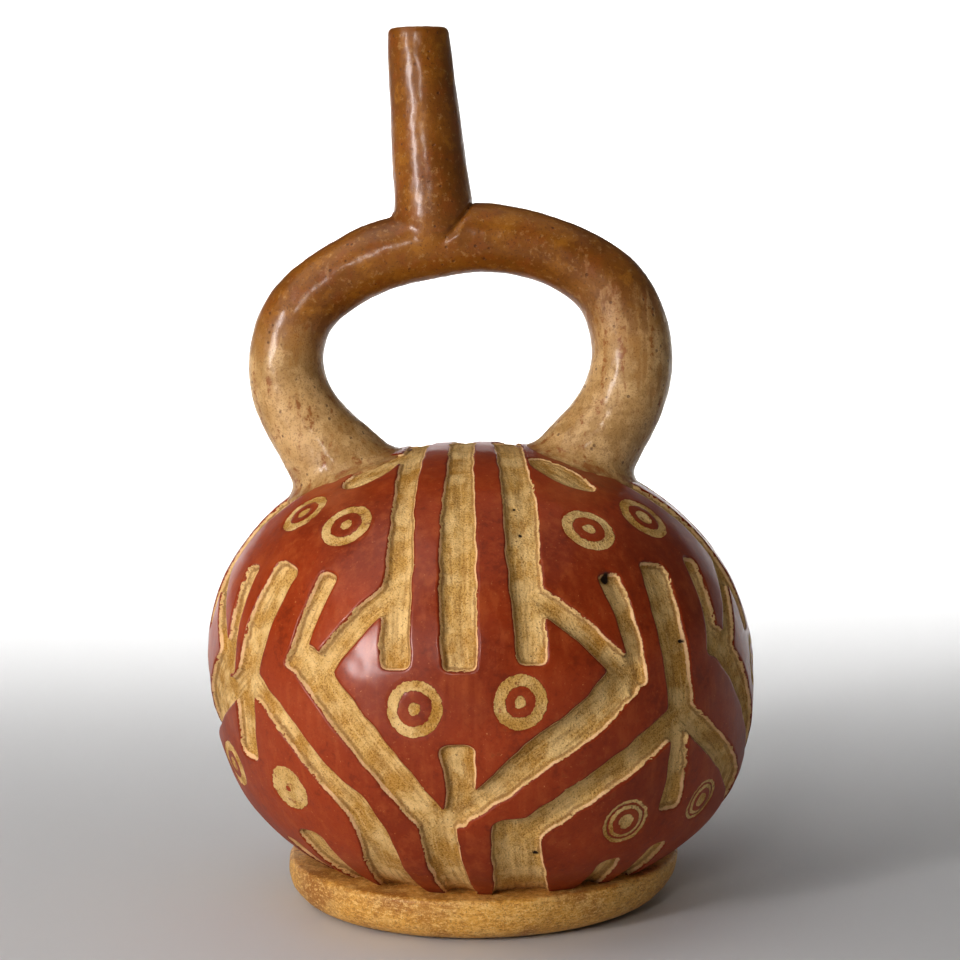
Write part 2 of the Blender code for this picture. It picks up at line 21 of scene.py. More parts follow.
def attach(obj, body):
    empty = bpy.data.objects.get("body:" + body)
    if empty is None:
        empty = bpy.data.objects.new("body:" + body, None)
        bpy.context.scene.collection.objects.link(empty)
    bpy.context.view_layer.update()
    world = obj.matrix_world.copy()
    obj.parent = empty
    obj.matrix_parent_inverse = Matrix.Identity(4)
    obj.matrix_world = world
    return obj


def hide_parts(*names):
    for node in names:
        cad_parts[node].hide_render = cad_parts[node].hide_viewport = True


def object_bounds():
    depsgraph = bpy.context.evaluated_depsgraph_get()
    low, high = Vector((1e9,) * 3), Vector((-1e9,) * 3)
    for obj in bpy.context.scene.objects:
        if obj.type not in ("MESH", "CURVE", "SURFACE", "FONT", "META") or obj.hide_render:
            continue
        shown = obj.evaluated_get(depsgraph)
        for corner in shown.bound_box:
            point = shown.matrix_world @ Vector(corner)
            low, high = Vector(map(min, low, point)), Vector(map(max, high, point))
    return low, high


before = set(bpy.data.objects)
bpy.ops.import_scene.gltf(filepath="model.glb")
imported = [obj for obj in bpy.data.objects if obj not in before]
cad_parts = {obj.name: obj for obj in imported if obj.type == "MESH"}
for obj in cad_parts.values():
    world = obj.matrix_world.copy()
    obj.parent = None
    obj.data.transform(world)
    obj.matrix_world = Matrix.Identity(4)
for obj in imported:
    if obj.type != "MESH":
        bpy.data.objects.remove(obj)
cad_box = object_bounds()

NODE = "stirrup_spout_bottle"
FULL_HEIGHT = 240.0  # of the real bottle, in mm
MM = (cad_box[1].z - cad_box[0].z) / FULL_HEIGHT  # one mm of it, in the frame
PLAN_MERGE = 1e-7  # points of the plan closer than this become one
STROKE_GAP = 37.0  # mm between two strokes' grain, so that no two are alike
SETTLE_ROUNDS = 3  # in which the net's points move onto the skin
SETTLE_PROBE = 0.02  # mm to one side, where the distance's slope is read
LEAST_SLOPE = 0.3  # the least squared slope that a point's move is divided by

Tone = tuple[float, float, float]
ArmPoint = tuple[float, float, float]  # shares of the half span, the rise and the radius

log = logging.getLogger("bottle")


def linear(red: float, green: float, blue: float) -> tuple[float, float, float, float]:
    """Linear colour of a tone given as 0 to 255.

    Args:
        red: Red, as seen on a screen.
        green: Green.
        blue: Blue.

    Returns:
        The four values of a colour socket.
    """
    tones = [tone / 255 for tone in (red, green, blue)]
    light = [t / 12.92 if t <= 0.04045 else ((t + 0.055) / 1.055) ** 2.4 for t in tones]
    return (*light, 1.0)


class Wire:
    """A node's output, on which expressions add the nodes that work them out."""

    def __init__(self, board: "Board", socket: bpy.types.NodeSocket) -> None:
        """Wrap a socket of a board's nodes."""
        self.board = board
        self.socket = socket

    def math(self, operation: str, *others: "Wire | float") -> "Wire":
        """Result of a Math node on this value.

        Args:
            operation: The Math node's operation.
            others: Its other values, in order.

        Returns:
            The result.
        """
        values = dict(enumerate((self, *others)))
        return self.board.add("ShaderNodeMath", {"operation": operation}, values)

    def __add__(self, other: "Wire | float") -> "Wire":
        """Sum."""
        return self.math("ADD", other)

    def __radd__(self, other: float) -> "Wire":
        """Sum with a number before it."""
        return self.math("ADD", other)

    def __sub__(self, other: "Wire | float") -> "Wire":
        """Difference."""
        return self.math("SUBTRACT", other)

    def __rsub__(self, other: float) -> "Wire":
        """A number less this value."""
        return (self * -1.0) + other

    def __mul__(self, other: "Wire | float") -> "Wire":
        """Product."""
        return self.math("MULTIPLY", other)

    def __rmul__(self, other: float) -> "Wire":
        """Product with a number before it."""
        return self.math("MULTIPLY", other)

    def most(self, other: "Wire | float") -> "Wire":
        """The larger of two values."""
        return self.math("MAXIMUM", other)

    def rise(self, low: float, high: float) -> "Wire":
        """A soft step from 0 at one value to 1 at another.

        Args:
            low: Where the step starts.
            high: Where it ends, which may be lower for a step down.

        Returns:
            The step, from 0 to 1.
        """
        falling = low > high
        ends = (high, low) if falling else (low, high)
        made = self.board.add("ShaderNodeMapRange", {"interpolation_type": "SMOOTHSTEP"},
                              {"Value": self, "From Min": ends[0], "From Max": ends[1]})
        return 1.0 - made if falling else made

    def band(self, low: float, high: float, soft: float) -> "Wire":
        """1 between two values and 0 outside them.

        Args:
            low: Where the band starts.
            high: Where it ends.
            soft: Width of its soft edges.

        Returns:
            The band, from 0 to 1.
        """
        return self.rise(low - soft, low + soft) * self.rise(high + soft, high - soft)


class Board:
    """The nodes of a material or of the world, added one by one."""

    def __init__(self, tree: bpy.types.NodeTree) -> None:
        """Take the tree that the nodes go into."""
        self.nodes = tree.nodes
        self.links = tree.links

    def add(self, kind: str, settings: dict, sockets: dict, out: int | str = 0) -> Wire:
        """Add a node, set it up and fill its sockets.

        Args:
            kind: The node's type.
            settings: Its properties, set first.
            sockets: Values or wires for its inputs, by name or number.
            out: The output to hand back.

        Returns:
            The chosen output.
        """
        node = self.nodes.new(kind)
        for name, value in settings.items():
            setattr(node, name, value)
        self.fill(node, sockets)
        return Wire(self, node.outputs[out])

    def fill(self, node: bpy.types.Node, sockets: dict) -> None:
        """Set or link the inputs of a node.

        Args:
            node: The node.
            sockets: Values or wires, by name or number.
        """
        for name, value in sockets.items():
            if isinstance(value, Wire):
                self.links.new(value.socket, node.inputs[name])
            else:
                node.inputs[name].default_value = value


class Paint(Board):
    """One material and the nodes that colour it."""

    def __init__(self, name: str) -> None:
        """Start a material with a plain shader.

        Args:
            name: The material's name.
        """
        self.material = bpy.data.materials.new(name)
        self.material.use_nodes = True
        super().__init__(self.material.node_tree)
        self.shader = self.nodes["Principled BSDF"]
        self.place = self.add("ShaderNodeTexCoord", {}, {}, "Object")

    def mark(self, name: str) -> Wire:
        """A value that the mesh carries at each point."""
        return self.add("ShaderNodeAttribute", {"attribute_name": name}, {}, "Fac")

    def noise(self, size: float, detail: float = 2.0, stretch: Tone = (1.0, 1.0, 1.0),
              vector: Wire | None = None, rough: float = 0.5) -> Wire:
        """Cloudy noise from 0 to 1.

        Args:
            size: Size of its clouds in mm.
            detail: How many finer layers it has.
            stretch: How tight it is along X, Y and Z.
            vector: Where it is read, in the frame's units, or the place on the object.
            rough: Weight of the finer layers.

        Returns:
            The noise.
        """
        where = vector or self.place
        if stretch != (1.0, 1.0, 1.0):
            where = self.add("ShaderNodeVectorMath", {"operation": "MULTIPLY"},
                             {0: where, 1: stretch})
        return self.add("ShaderNodeTexNoise", {}, {"Vector": where, "Scale": 1 / (size * MM),
                                                   "Detail": detail, "Roughness": rough})

    def cells(self, size: float) -> Wire:
        """Distance from the nearest of many scattered points, as a share of their spacing."""
        return self.add("ShaderNodeTexVoronoi", {},
                        {"Vector": self.place, "Scale": 1 / (size * MM)}, "Distance")

    def mix(self, share: Wire, first: Wire | Tone, second: Wire | Tone) -> Wire:
        """Mix two colours.

        Args:
            share: How much of the second.
            first: A wire or a tone from 0 to 255.
            second: A wire or a tone from 0 to 255.

        Returns:
            The mixed colour.
        """
        ends = [c if isinstance(c, Wire) else linear(*c) for c in (first, second)]
        return self.add("ShaderNodeMix", {"data_type": "RGBA", "clamp_factor": True},
                        {0: share, 6: ends[0], 7: ends[1]}, 2)

    def layers(self, colour: Wire, *laid: tuple[Wire, Tone]) -> Wire:
        """Lay tones over a colour one after another.

        Args:
            colour: The colour underneath.
            laid: The share and the tone of each layer.

        Returns:
            The colour with all its layers.
        """
        for share, tone in laid:
            colour = self.mix(share, colour, tone)
        return colour

    def between(self, share: Wire, first: float, second: float) -> Wire:
        """A number that goes from one value to another as a share goes from 0 to 1."""
        return share * (second - first) + first

    def bump(self, height: Wire, depth: float) -> Wire:
        """Normal of a fine relief, its height given in steps of a depth in mm."""
        return self.add("ShaderNodeBump", {},
                        {"Strength": 1.0, "Distance": depth * MM, "Height": height}, "Normal")

    def finish(self, sockets: dict) -> bpy.types.Material:
        """Fill the shader's sockets and hand the material back."""
        self.fill(self.shader, sockets)
        return self.material


def waves(points: np.ndarray, length: float, seed: int, count: int = 7) -> np.ndarray:
    """Smooth unevenness of a hand-made surface, from about -1 to 1.

    Args:
        points: Places in mm, one row each.
        length: Usual distance from crest to crest in mm.
        seed: Which unevenness.
        count: How many plane waves add up.

    Returns:
        One value for each place.
    """
    draw = np.random.default_rng(seed)
    total = np.zeros(len(points))
    for _ in range(count):
        way = draw.normal(size=points.shape[1])
        way *= 2 * math.pi / length * draw.uniform(0.7, 1.4) / np.linalg.norm(way)
        total += np.sin(points @ way + draw.uniform(0, 2 * math.pi))
    return total / math.sqrt(count)


@dataclass(frozen=True)
class Ripple:
    """One layer of a surface's unevenness: height and usual length in mm, and which one it is."""

    height: float
    length: float
    seed: int


def uneven(points: np.ndarray, ripples: tuple[Ripple, ...]) -> np.ndarray:
    """Sum of some layers of unevenness at points, in mm."""
    return sum(ripple.height * waves(points, ripple.length, ripple.seed) for ripple in ripples)


def smooth_step(values: np.ndarray, low: float, high: float) -> np.ndarray:
    """A soft step from 0 at low to 1 at high."""
    share = np.clip((values - low) / (high - low), 0, 1)
    return share * share * (3 - 2 * share)


def make_piece(name: str, points: np.ndarray, faces: np.ndarray, marks: dict[str, np.ndarray],
               material: bpy.types.Material) -> bpy.types.Object:
    """Make an object from points in mm and faces of one size, and set it in the frame.

    Args:
        name: The object's name.
        points: Corners in mm.
        faces: Corner numbers, one row for each face.
        marks: Values that each corner carries.
        material: The object's material.

    Returns:
        The object, riding on the bottle's body and standing for its node.
    """
    mesh = bpy.data.meshes.new(name)
    sides = faces.shape[1]
    mesh.vertices.add(len(points))
    mesh.vertices.foreach_set("co", (points * MM).astype(np.float32).ravel())
    mesh.loops.add(faces.size)
    mesh.loops.foreach_set("vertex_index", faces.astype(np.int32).ravel())
    mesh.polygons.add(len(faces))
    mesh.polygons.foreach_set("loop_start", np.arange(0, faces.size, sides, dtype=np.int32))
    mesh.update(calc_edges=True)
    mesh.validate()
    for mark, values in marks.items():
        layer = mesh.attributes.new(mark, "FLOAT", "POINT")
        layer.data.foreach_set("value", values.astype(np.float32))
    mesh.shade_smooth()
    mesh.materials.append(material)
    piece = bpy.data.objects.new(name, mesh)
    bpy.context.collection.objects.link(piece)
    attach(piece, "root")
    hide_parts(NODE)
    return piece


@dataclass(frozen=True)
class Stroke:
    """A broad cut: points as degrees round and percent down, and a width in mm at each."""

    points: tuple[tuple[float, float], ...]
    widths: tuple[float, ...]


class Ring(Enum):
    """How an eye is scraped into the skin."""

    PLAIN = "one broad ring"
    DOUBLE = "two thin rings"
    DISC = "a filled disc with a dark dot"


@dataclass(frozen=True)
class Eye:
    """A round eye: degrees from its motif's middle, mm down, and radii in mm."""

    turn: float
    down: float
    outer: float
    inner: float
    pupil: float
    ring: Ring = Ring.PLAIN

    def zone(self, distance: np.ndarray) -> np.ndarray:
        """Zone of the eye at a distance from its middle: pupil to 1, gap to 2, ring to 3.

        Args:
            distance: Distances from its middle, in mm.

        Returns:
            The zones.
        """
        if self.ring is Ring.DISC:
            stops, zones = (0.0, self.pupil, self.outer, self.outer + 4.0), (1.5, 2.0, 3.0, 7.0)
        else:
            stops = (0.0, self.pupil, self.inner, self.outer, self.outer + 4.0)
            zones = (0.0, 1.0, 2.0, 3.0, 7.0)
        return np.interp(distance, stops, zones)


@dataclass(frozen=True)
class Pit:
    """A pit or chip in the clay: degrees round, mm down and radius in mm."""

    turn: float
    down: float
    radius: float


STRIPES = (
    Stroke(((-27.5, 17.5), (-16.6, 29.1), (-12.5, 41.0), (-11.5, 57.2)), (6.4, 6.0, 7.4, 8.2)),
    Stroke(((0.6, 17.5), (1.2, 29.1), (1.4, 41.0), (1.3, 57.2)), (7.2, 8.8, 9.6, 9.2)),
    Stroke(((28.2, 17.5), (20.4, 29.1), (16.5, 41.0), (15.2, 56.6)), (8.0, 9.2, 8.8, 8.0)),
)

FIGURE = (
    Stroke(((-13.0, 45.5), (-26.5, 56.5), (-31.0, 60.2)), (6.2, 6.6, 6.8)),  # left arm
    Stroke(((-29.5, 43.0), (-33.0, 53.0), (-35.5, 58.5)), (6.2, 5.5, 5.0)),  # left hand
    Stroke(((-33.5, 55.8), (-22.0, 64.9), (-13.0, 73.4), (-5.5, 81.5)), (9.4, 9.6, 9.4, 9.0)),
    Stroke(((-5.5, 79.0), (-5.8, 88.0), (-5.0, 103.0)), (9.8, 9.6, 8.6)),  # lower stem
    Stroke(((17.0, 46.2), (32.0, 56.8), (35.5, 59.6)), (6.4, 6.6, 7.0)),  # right arm
    Stroke(((35.5, 43.5), (36.8, 53.0), (37.0, 61.0)), (7.0, 5.8, 5.8)),  # right hand
    Stroke(((35.5, 58.9), (25.0, 65.2), (15.0, 69.9), (6.5, 75.1), (-1.5, 79.5)),
           (10.4, 9.4, 8.8, 6.8, 5.0)),  # right leg
    Stroke(((-0.2, 67.8), (0.0, 75.0), (-2.0, 81.0)), (9.8, 7.2, 6.4)),  # nose
)

STAFF_RIGHT = (
    Stroke(((2.8, 42.6), (0.3, 52.4), (0.2, 66.5)), (9.6, 9.6, 9.4)),  # staff
    Stroke(((-0.5, 65.5), (-0.5, 81.5)), (6.0, 8.2)),  # middle prong
    Stroke(((0.0, 66.2), (-12.0, 71.4), (-22.0, 76.0), (-31.0, 80.6), (-36.0, 83.5)),
           (7.4, 7.6, 7.6, 8.0, 8.4)),  # left prong
    Stroke(((-36.6, 79.6), (-36.0, 88.0), (-33.0, 103.0)), (12.2, 13.2, 15.8)),  # left channel
    Stroke(((1.0, 66.2), (10.0, 71.3), (20.0, 76.9), (29.0, 82.2), (31.0, 88.0), (29.0, 103.0)),
           (7.4, 7.6, 8.0, 8.4, 10.0, 15.0)),  # right prong
    Stroke(((-12.0, 90.0), (-11.0, 103.0)), (6.6, 8.0)),  # left toe
    Stroke(((2.0, 88.5), (2.0, 103.0)), (7.0, 8.4)),  # right toe
)

STAFF_LEFT = (
    Stroke(((3.6, 42.2), (0.0, 52.4), (-2.5, 61.0)), (10.8, 10.6, 10.0)),  # staff
    Stroke(((-2.8, 60.0), (-5.0, 73.8)), (9.4, 8.6)),  # middle prong
    Stroke(((-2.5, 60.6), (-10.0, 63.8), (-20.0, 68.2), (-28.0, 71.8), (-35.0, 76.5),
            (-39.0, 82.0), (-38.0, 88.0), (-33.0, 103.0)),
           (6.4, 6.4, 6.6, 7.0, 8.0, 11.5, 13.0, 15.3)),  # left prong
    Stroke(((-1.0, 60.8), (9.0, 66.7), (17.5, 73.7), (24.5, 79.4), (26.0, 86.0), (22.0, 103.0)),
           (6.0, 6.2, 6.4, 8.8, 10.0, 16.3)),  # right prong
    Stroke(((6.5, 85.0), (6.5, 103.0)), (9.8, 9.0)),  # right toe
    Stroke(((-6.5, 89.0), (-7.5, 103.0)), (7.6, 8.6)),  # left toe
)

LEAVES = (
    Stroke(((-55.0, 12.7), (-45.2, 19.2), (-46.2, 23.0), (-50.5, 25.0)), (6.0, 12.0, 12.0, 5.0)),
    Stroke(((49.0, 14.9), (47.0, 19.1), (48.8, 23.9), (52.4, 27.2)), (5.0, 11.0, 10.5, 3.5)),
)

FIGURE_EYES = (
    Eye(-7.7, 107.5, 7.3, 4.5, 1.6),
    Eye(12.3, 106.0, 7.0, 3.9, 1.5),
)

STAFF_RIGHT_EYES = (
    Eye(-10.0, 61.0, 7.4, 4.6, 1.7),
    Eye(13.0, 59.5, 7.5, 4.7, 2.5),
    Eye(-12.0, 141.0, 6.8, 4.0, 2.3, Ring.DOUBLE),
    Eye(11.0, 140.0, 6.2, 3.6, 2.1, Ring.DOUBLE),
)

STAFF_LEFT_EYES = (
    Eye(15.0, 58.5, 7.3, 4.5, 1.7),
    Eye(-6.5, 56.0, 7.0, 4.3, 1.9),
    Eye(6.5, 132.5, 6.6, 3.6, 0.9, Ring.DISC),
    Eye(-16.0, 131.0, 6.5, 3.8, 1.9),
)

PITS = (
    Pit(10.5, 151.0, 0.8),
    Pit(12.9, 60.0, 0.6),
    Pit(13.5, 50.5, 0.5),
    Pit(30.6, 75.6, 1.3),
    Pit(45.4, 95.0, 0.6),
)


class Meridian:
    """The body's curve from the crown down, and the flat plan that keeps its angles."""

    samples = 1600

    def __init__(self, radius: float, rise: float, drop: float, widest: float, floor: float,
                 fullness: tuple[float, float], lean: float) -> None:
        """Work out the curve.

        Args:
            radius: Radius at the widest ring.
            rise: From there up to the crown.
            drop: From there down to where the belly's curve would close.
            widest: Height of the widest ring.
            floor: Height at which the curve is cut off.
            fullness: How square the shoulder and the belly are, 2 for an ellipse.
            lean: Sideways shift to the left for each mm of height.
        """
        self.widest = widest
        self.lean = lean
        upper = np.linspace(math.pi / 2, 0.0, self.samples)
        lower = np.linspace(0.0, math.pi / 2, self.samples)[1:]
        height = np.concatenate([widest + rise * np.sin(upper) ** (2 / fullness[0]),
                                 widest - drop * np.sin(lower) ** (2 / fullness[1])])
        reach = np.concatenate([radius * np.cos(upper) ** (2 / fullness[0]),
                                radius * np.cos(lower) ** (2 / fullness[1])])
        reach[0] = 0.0
        kept = height >= floor
        self.height = height[kept]
        self.reach = reach[kept]
        steps = np.hypot(np.diff(self.height), np.diff(self.reach))
        self.down = np.concatenate([[0.0], np.cumsum(steps)])
        middle = (self.reach[1:] + self.reach[:-1]) / 2
        spread = np.cumsum(steps[1:] / middle[1:])
        self.plan_radius = np.concatenate([[0.0, self.down[1]], self.down[1] * np.exp(spread)])
        self.out_reach = -np.gradient(self.height, self.down)
        self.out_height = np.gradient(self.reach, self.down)

    def at_height(self, height: float) -> float:
        """Distance down the curve to a height."""
        return float(np.interp(-height, -self.height, self.down))

    def plan(self, degrees: np.ndarray | float, down: np.ndarray | float) -> np.ndarray:
        """Places in the plan of points given in degrees round and mm down.

        Args:
            degrees: Degrees round from the front.
            down: Distance down the curve, in mm.

        Returns:
            The places.
        """
        radius = np.interp(down, self.down, self.plan_radius)
        turn = np.radians(degrees)
        return np.stack([radius * np.sin(turn), -radius * np.cos(turn)], axis=-1)

    def down_of(self, places: np.ndarray) -> np.ndarray:
        """Distance down the curve to places in the plan."""
        return np.interp(np.hypot(places[..., 0], places[..., 1]), self.plan_radius, self.down)

    def scale(self, places: np.ndarray) -> np.ndarray:
        """How much larger the plan is than the clay at places in the plan."""
        down = np.maximum(self.down_of(places), self.down[1])
        return np.interp(down, self.down, self.plan_radius) / np.interp(down, self.down, self.reach)

    def surface(self, places: np.ndarray, depth: np.ndarray | float = 0.0) -> np.ndarray:
        """Points in space at places in the plan.

        Args:
            places: Places in the plan.
            depth: How far each is sunk into the clay, in mm.

        Returns:
            One point for each place.
        """
        down = self.down_of(places)
        turn = np.arctan2(places[..., 0], -places[..., 1])
        reach = np.interp(down, self.down, self.reach)
        reach = reach - depth * np.interp(down, self.down, self.out_reach)
        height = np.interp(down, self.down, self.height)
        height = height - depth * np.interp(down, self.down, self.out_height)
        across = reach * np.sin(turn) + self.lean * (self.widest - height)
        return np.stack([across, -reach * np.cos(turn), height], axis=-1)


def smooth_line(points: np.ndarray, step: float) -> np.ndarray:
    """Points of a smooth curve through given points, in even steps.

    Args:
        points: The curve's own points, with any further values as columns after the first two.
        step: Length of a step along the first two columns.

    Returns:
        The curve's points.
    """
    ends = np.vstack([2 * points[0] - points[1], points, 2 * points[-1] - points[-2]])
    made = []
    for before, start, end, after in zip(ends, ends[1:], ends[2:], ends[3:]):
        run = np.hypot(*(end - start)[:2])
        share = np.arange(0, 1, min(1.0, step / max(run, 1e-9)))[:, None]
        slope_in = (end - before) / 2
        slope_out = (after - start) / 2
        limit = max(np.hypot(*slope_in[:2]), np.hypot(*slope_out[:2]), 1e-9)
        ease = min(1.0, run / limit)
        made.append((2 * share ** 3 - 3 * share ** 2 + 1) * start
                    + (share ** 3 - 2 * share ** 2 + share) * slope_in * ease
                    + (3 * share ** 2 - 2 * share ** 3) * end
                    + (share ** 3 - share ** 2) * slope_out * ease)
    return np.vstack([*made, points[-1:]])


def signed_area(loop: np.ndarray) -> float:
    """Area of a closed loop in the plane, negative where it runs clockwise."""
    x, y = loop.T
    return float(np.sum(x * np.roll(y, -1) - y * np.roll(x, -1))) / 2


def search_tree(points: np.ndarray) -> KDTree:
    """Tree that finds the nearest of some points in space by number.

    Args:
        points: Points in space.

    Returns:
        The tree, which numbers them in order.
    """
    tree = KDTree(len(points))
    for number, point in enumerate(points):
        tree.insert(point, number)
    tree.balance()
    return tree


def segment_distance(points: np.ndarray, starts: np.ndarray, ends: np.ndarray) -> np.ndarray:
    """Distance from each point to the segment given for it.

    Args:
        points: Points in space.
        starts: Start of each one's segment.
        ends: End of each one's segment.

    Returns:
        One distance for each.
    """
    along = ends - starts
    share = ((points - starts) * along).sum(1) / np.maximum((along ** 2).sum(1), 1e-12)
    share = np.clip(share, 0, 1)
    return np.linalg.norm(points - starts - share[:, None] * along, axis=1)


class Edges:
    """Edges of the carved ground as closed loops in space, for measuring distances to them."""

    def __init__(self, loops: list[np.ndarray]) -> None:
        """Take the loops, each as points in space.

        Args:
            loops: The loops.
        """
        self.points = np.vstack(loops)
        self.after = np.vstack([np.roll(loop, -1, axis=0) for loop in loops])
        self.before = np.vstack([np.roll(loop, 1, axis=0) for loop in loops])
        self.tree = search_tree(self.points)

    def distance(self, points: np.ndarray) -> np.ndarray:
        """Distance of each point from the nearest edge.

        Args:
            points: Points in space.

        Returns:
            One distance for each.
        """
        nearest = np.array([self.tree.find(point)[1] for point in points])
        here = self.points[nearest]
        return np.minimum(segment_distance(points, here, self.after[nearest]),
                          segment_distance(points, self.before[nearest], here))


@dataclass(frozen=True)
class SlipAndClay:
    """Finish of the body: burnished red slip, and pale clay where the strokes cut through it."""

    slip: Tone = (158, 62, 19)
    slip_deep: Tone = (136, 50, 13)
    slip_dark: Tone = (98, 32, 8)
    slip_light: Tone = (180, 92, 44)
    # dark patches of the slip, and the painted shade line along the strokes' edges
    speck: Tone = (214, 150, 96)
    cut_edge: Tone = (234, 194, 146)
    clay: Tone = (202, 160, 88)
    clay_ochre: Tone = (184, 136, 58)
    clay_pale: Tone = (228, 194, 134)
    clay_brown: Tone = (138, 94, 38)
    dirt: Tone = (84, 48, 18)
    # painted shade at the foot of the carved walls
    shade: Tone = (126, 80, 34)

    def material(self) -> bpy.types.Material:
        """Build the material.

        Returns:
            The finished material.
        """
        paint = Paint("red slip and carved clay")
        broad = paint.noise(34.0, 3.0)
        patches = paint.noise(8.0, 4.0, rough=0.6)
        fine = paint.noise(1.9, 3.0, rough=0.65)
        grain = paint.noise(0.55, 2.0)
        streaks = paint.noise(2.2, 3.0, (1.0, 1.0, 0.09))
        torn = (paint.noise(1.3, 2.0) - 0.5) * patches.rise(0.48, 0.6) * 1.4
        ragged = paint.mark("edge") + (fine - 0.5) * 0.36 + (grain - 0.5) * 0.22 + torn
        carved = ragged.rise(0.0, 0.1)
        floor = (ragged + (patches - 0.5) * 0.9).rise(0.26, 0.5)

        slip = paint.mix(broad.rise(0.36, 0.66), self.slip_deep, self.slip)
        slip = paint.layers(
            slip,
            ((patches * 0.6 + streaks * 0.4).rise(0.48, 0.66) * 0.45, self.slip_light),
            ((patches * 0.5 + fine * 0.5).rise(0.46, 0.36) * 0.4, self.slip_dark),
            (grain.rise(0.67, 0.75) * fine.rise(0.48, 0.6) * 0.7, self.speck),
            (fine.rise(0.64, 0.72) * 0.3, self.dirt),
            (grain.rise(0.44, 0.34) * 0.22, self.slip_dark),
            (fine.rise(0.53, 0.64) * 0.2, self.slip_light),
            # painted shade: a thin darker line on the slip just outside each stroke's edge
            (ragged.band(-0.28, -0.08, 0.1) * 0.35, self.slip_dark),
        )

        clay = self.ground(paint, patches, fine, grain)
        # painted shade: the clay floor darkens in patches 0.45 to 1 mm in from the edge, at the
        # foot of the walls
        wall_foot_shade = ragged.band(0.45, 1.0, 0.2) * patches.rise(0.34, 0.56)
        clay = paint.mix(wall_foot_shade * 0.6, clay, self.shade)
        cut = paint.mix(patches.rise(0.4, 0.58) * 0.75, self.cut_edge, clay)

        eye = paint.mark("eye") + (fine - 0.5) * 0.46 + (grain - 0.5) * 0.2
        double = paint.mark("double")
        ring = eye.band(2.0, 3.0, 0.03).most(eye.rise(1.03, 0.97))
        ring = ring * (1.0 - eye.band(2.38, 2.62, 0.05) * double)
        shown = ring * (1.0 - carved) * (1.0 - fine.rise(0.62, 0.68) * 0.6)
        bare = carved.most(shown)

        colour = paint.mix(shown, slip, clay)
        colour = paint.mix(carved, colour, paint.mix(floor, cut, clay))
        pits = paint.mark("pit")
        colour = paint.mix(pits.rise(0.25, 0.6), colour, (46, 28, 14))

        wear = (1.0 - ragged.rise(-0.7, -0.05)) * 0.5 + 0.5
        low = paint.mark("low")
        gloss = (1.0 - bare) * wear * (1.0 - low * 0.75)
        rough_slip = paint.between(fine * 0.6 + streaks * 0.4, 0.24, 0.5)
        roughness = (rough_slip + low * 0.2) * (1.0 - bare) + paint.between(grain, 0.6, 0.85) * bare
        height = (fine * 0.6 + grain) * bare * 1.6 + streaks * 0.35 + fine * 0.08
        return paint.finish({
            "Base Color": colour,
            "Roughness": roughness,
            "Coat Weight": gloss * 0.32,
            "Coat Roughness": 0.18,
            "Specular IOR Level": 0.24,
            "Normal": paint.bump(height, 0.18),
        })

    def ground(self, paint: Paint, patches: Wire, fine: Wire, grain: Wire) -> Wire:
        """Colour of the bare clay floor, streaked along the tool's way.

        Args:
            paint: The material.
            patches: Noise of broad patches.
            fine: Finer noise.
            grain: Finest noise.

        Returns:
            The colour.
        """
        way = paint.add("ShaderNodeCombineXYZ", {},
                        {0: paint.mark("across"), 1: paint.mark("along") * 0.08})
        marks = paint.noise(1.0 / MM * 0.9, 3.0, vector=way)
        broad = paint.noise(26.0, 2.0)
        clay = paint.mix(broad.rise(0.35, 0.65), self.clay_ochre, self.clay)
        peel = paint.noise(0.46, 3.0, rough=0.75)
        peppered = patches.rise(0.58, 0.42) * 0.6 + 0.25
        return paint.layers(
            clay,
            (patches.rise(0.36, 0.66), self.clay_pale),
            ((marks * 0.75 + fine * 0.25).rise(0.49, 0.62) * 0.38, self.clay_brown),
            (marks.rise(0.45, 0.34) * 0.45, self.clay_pale),
            (peel.rise(0.53, 0.61) * peppered, self.clay_brown),
            (peel.rise(0.46, 0.36) * 0.35, self.clay_pale),
            (grain.rise(0.64, 0.7) * patches.rise(0.42, 0.58) * 0.75, self.dirt),
        )


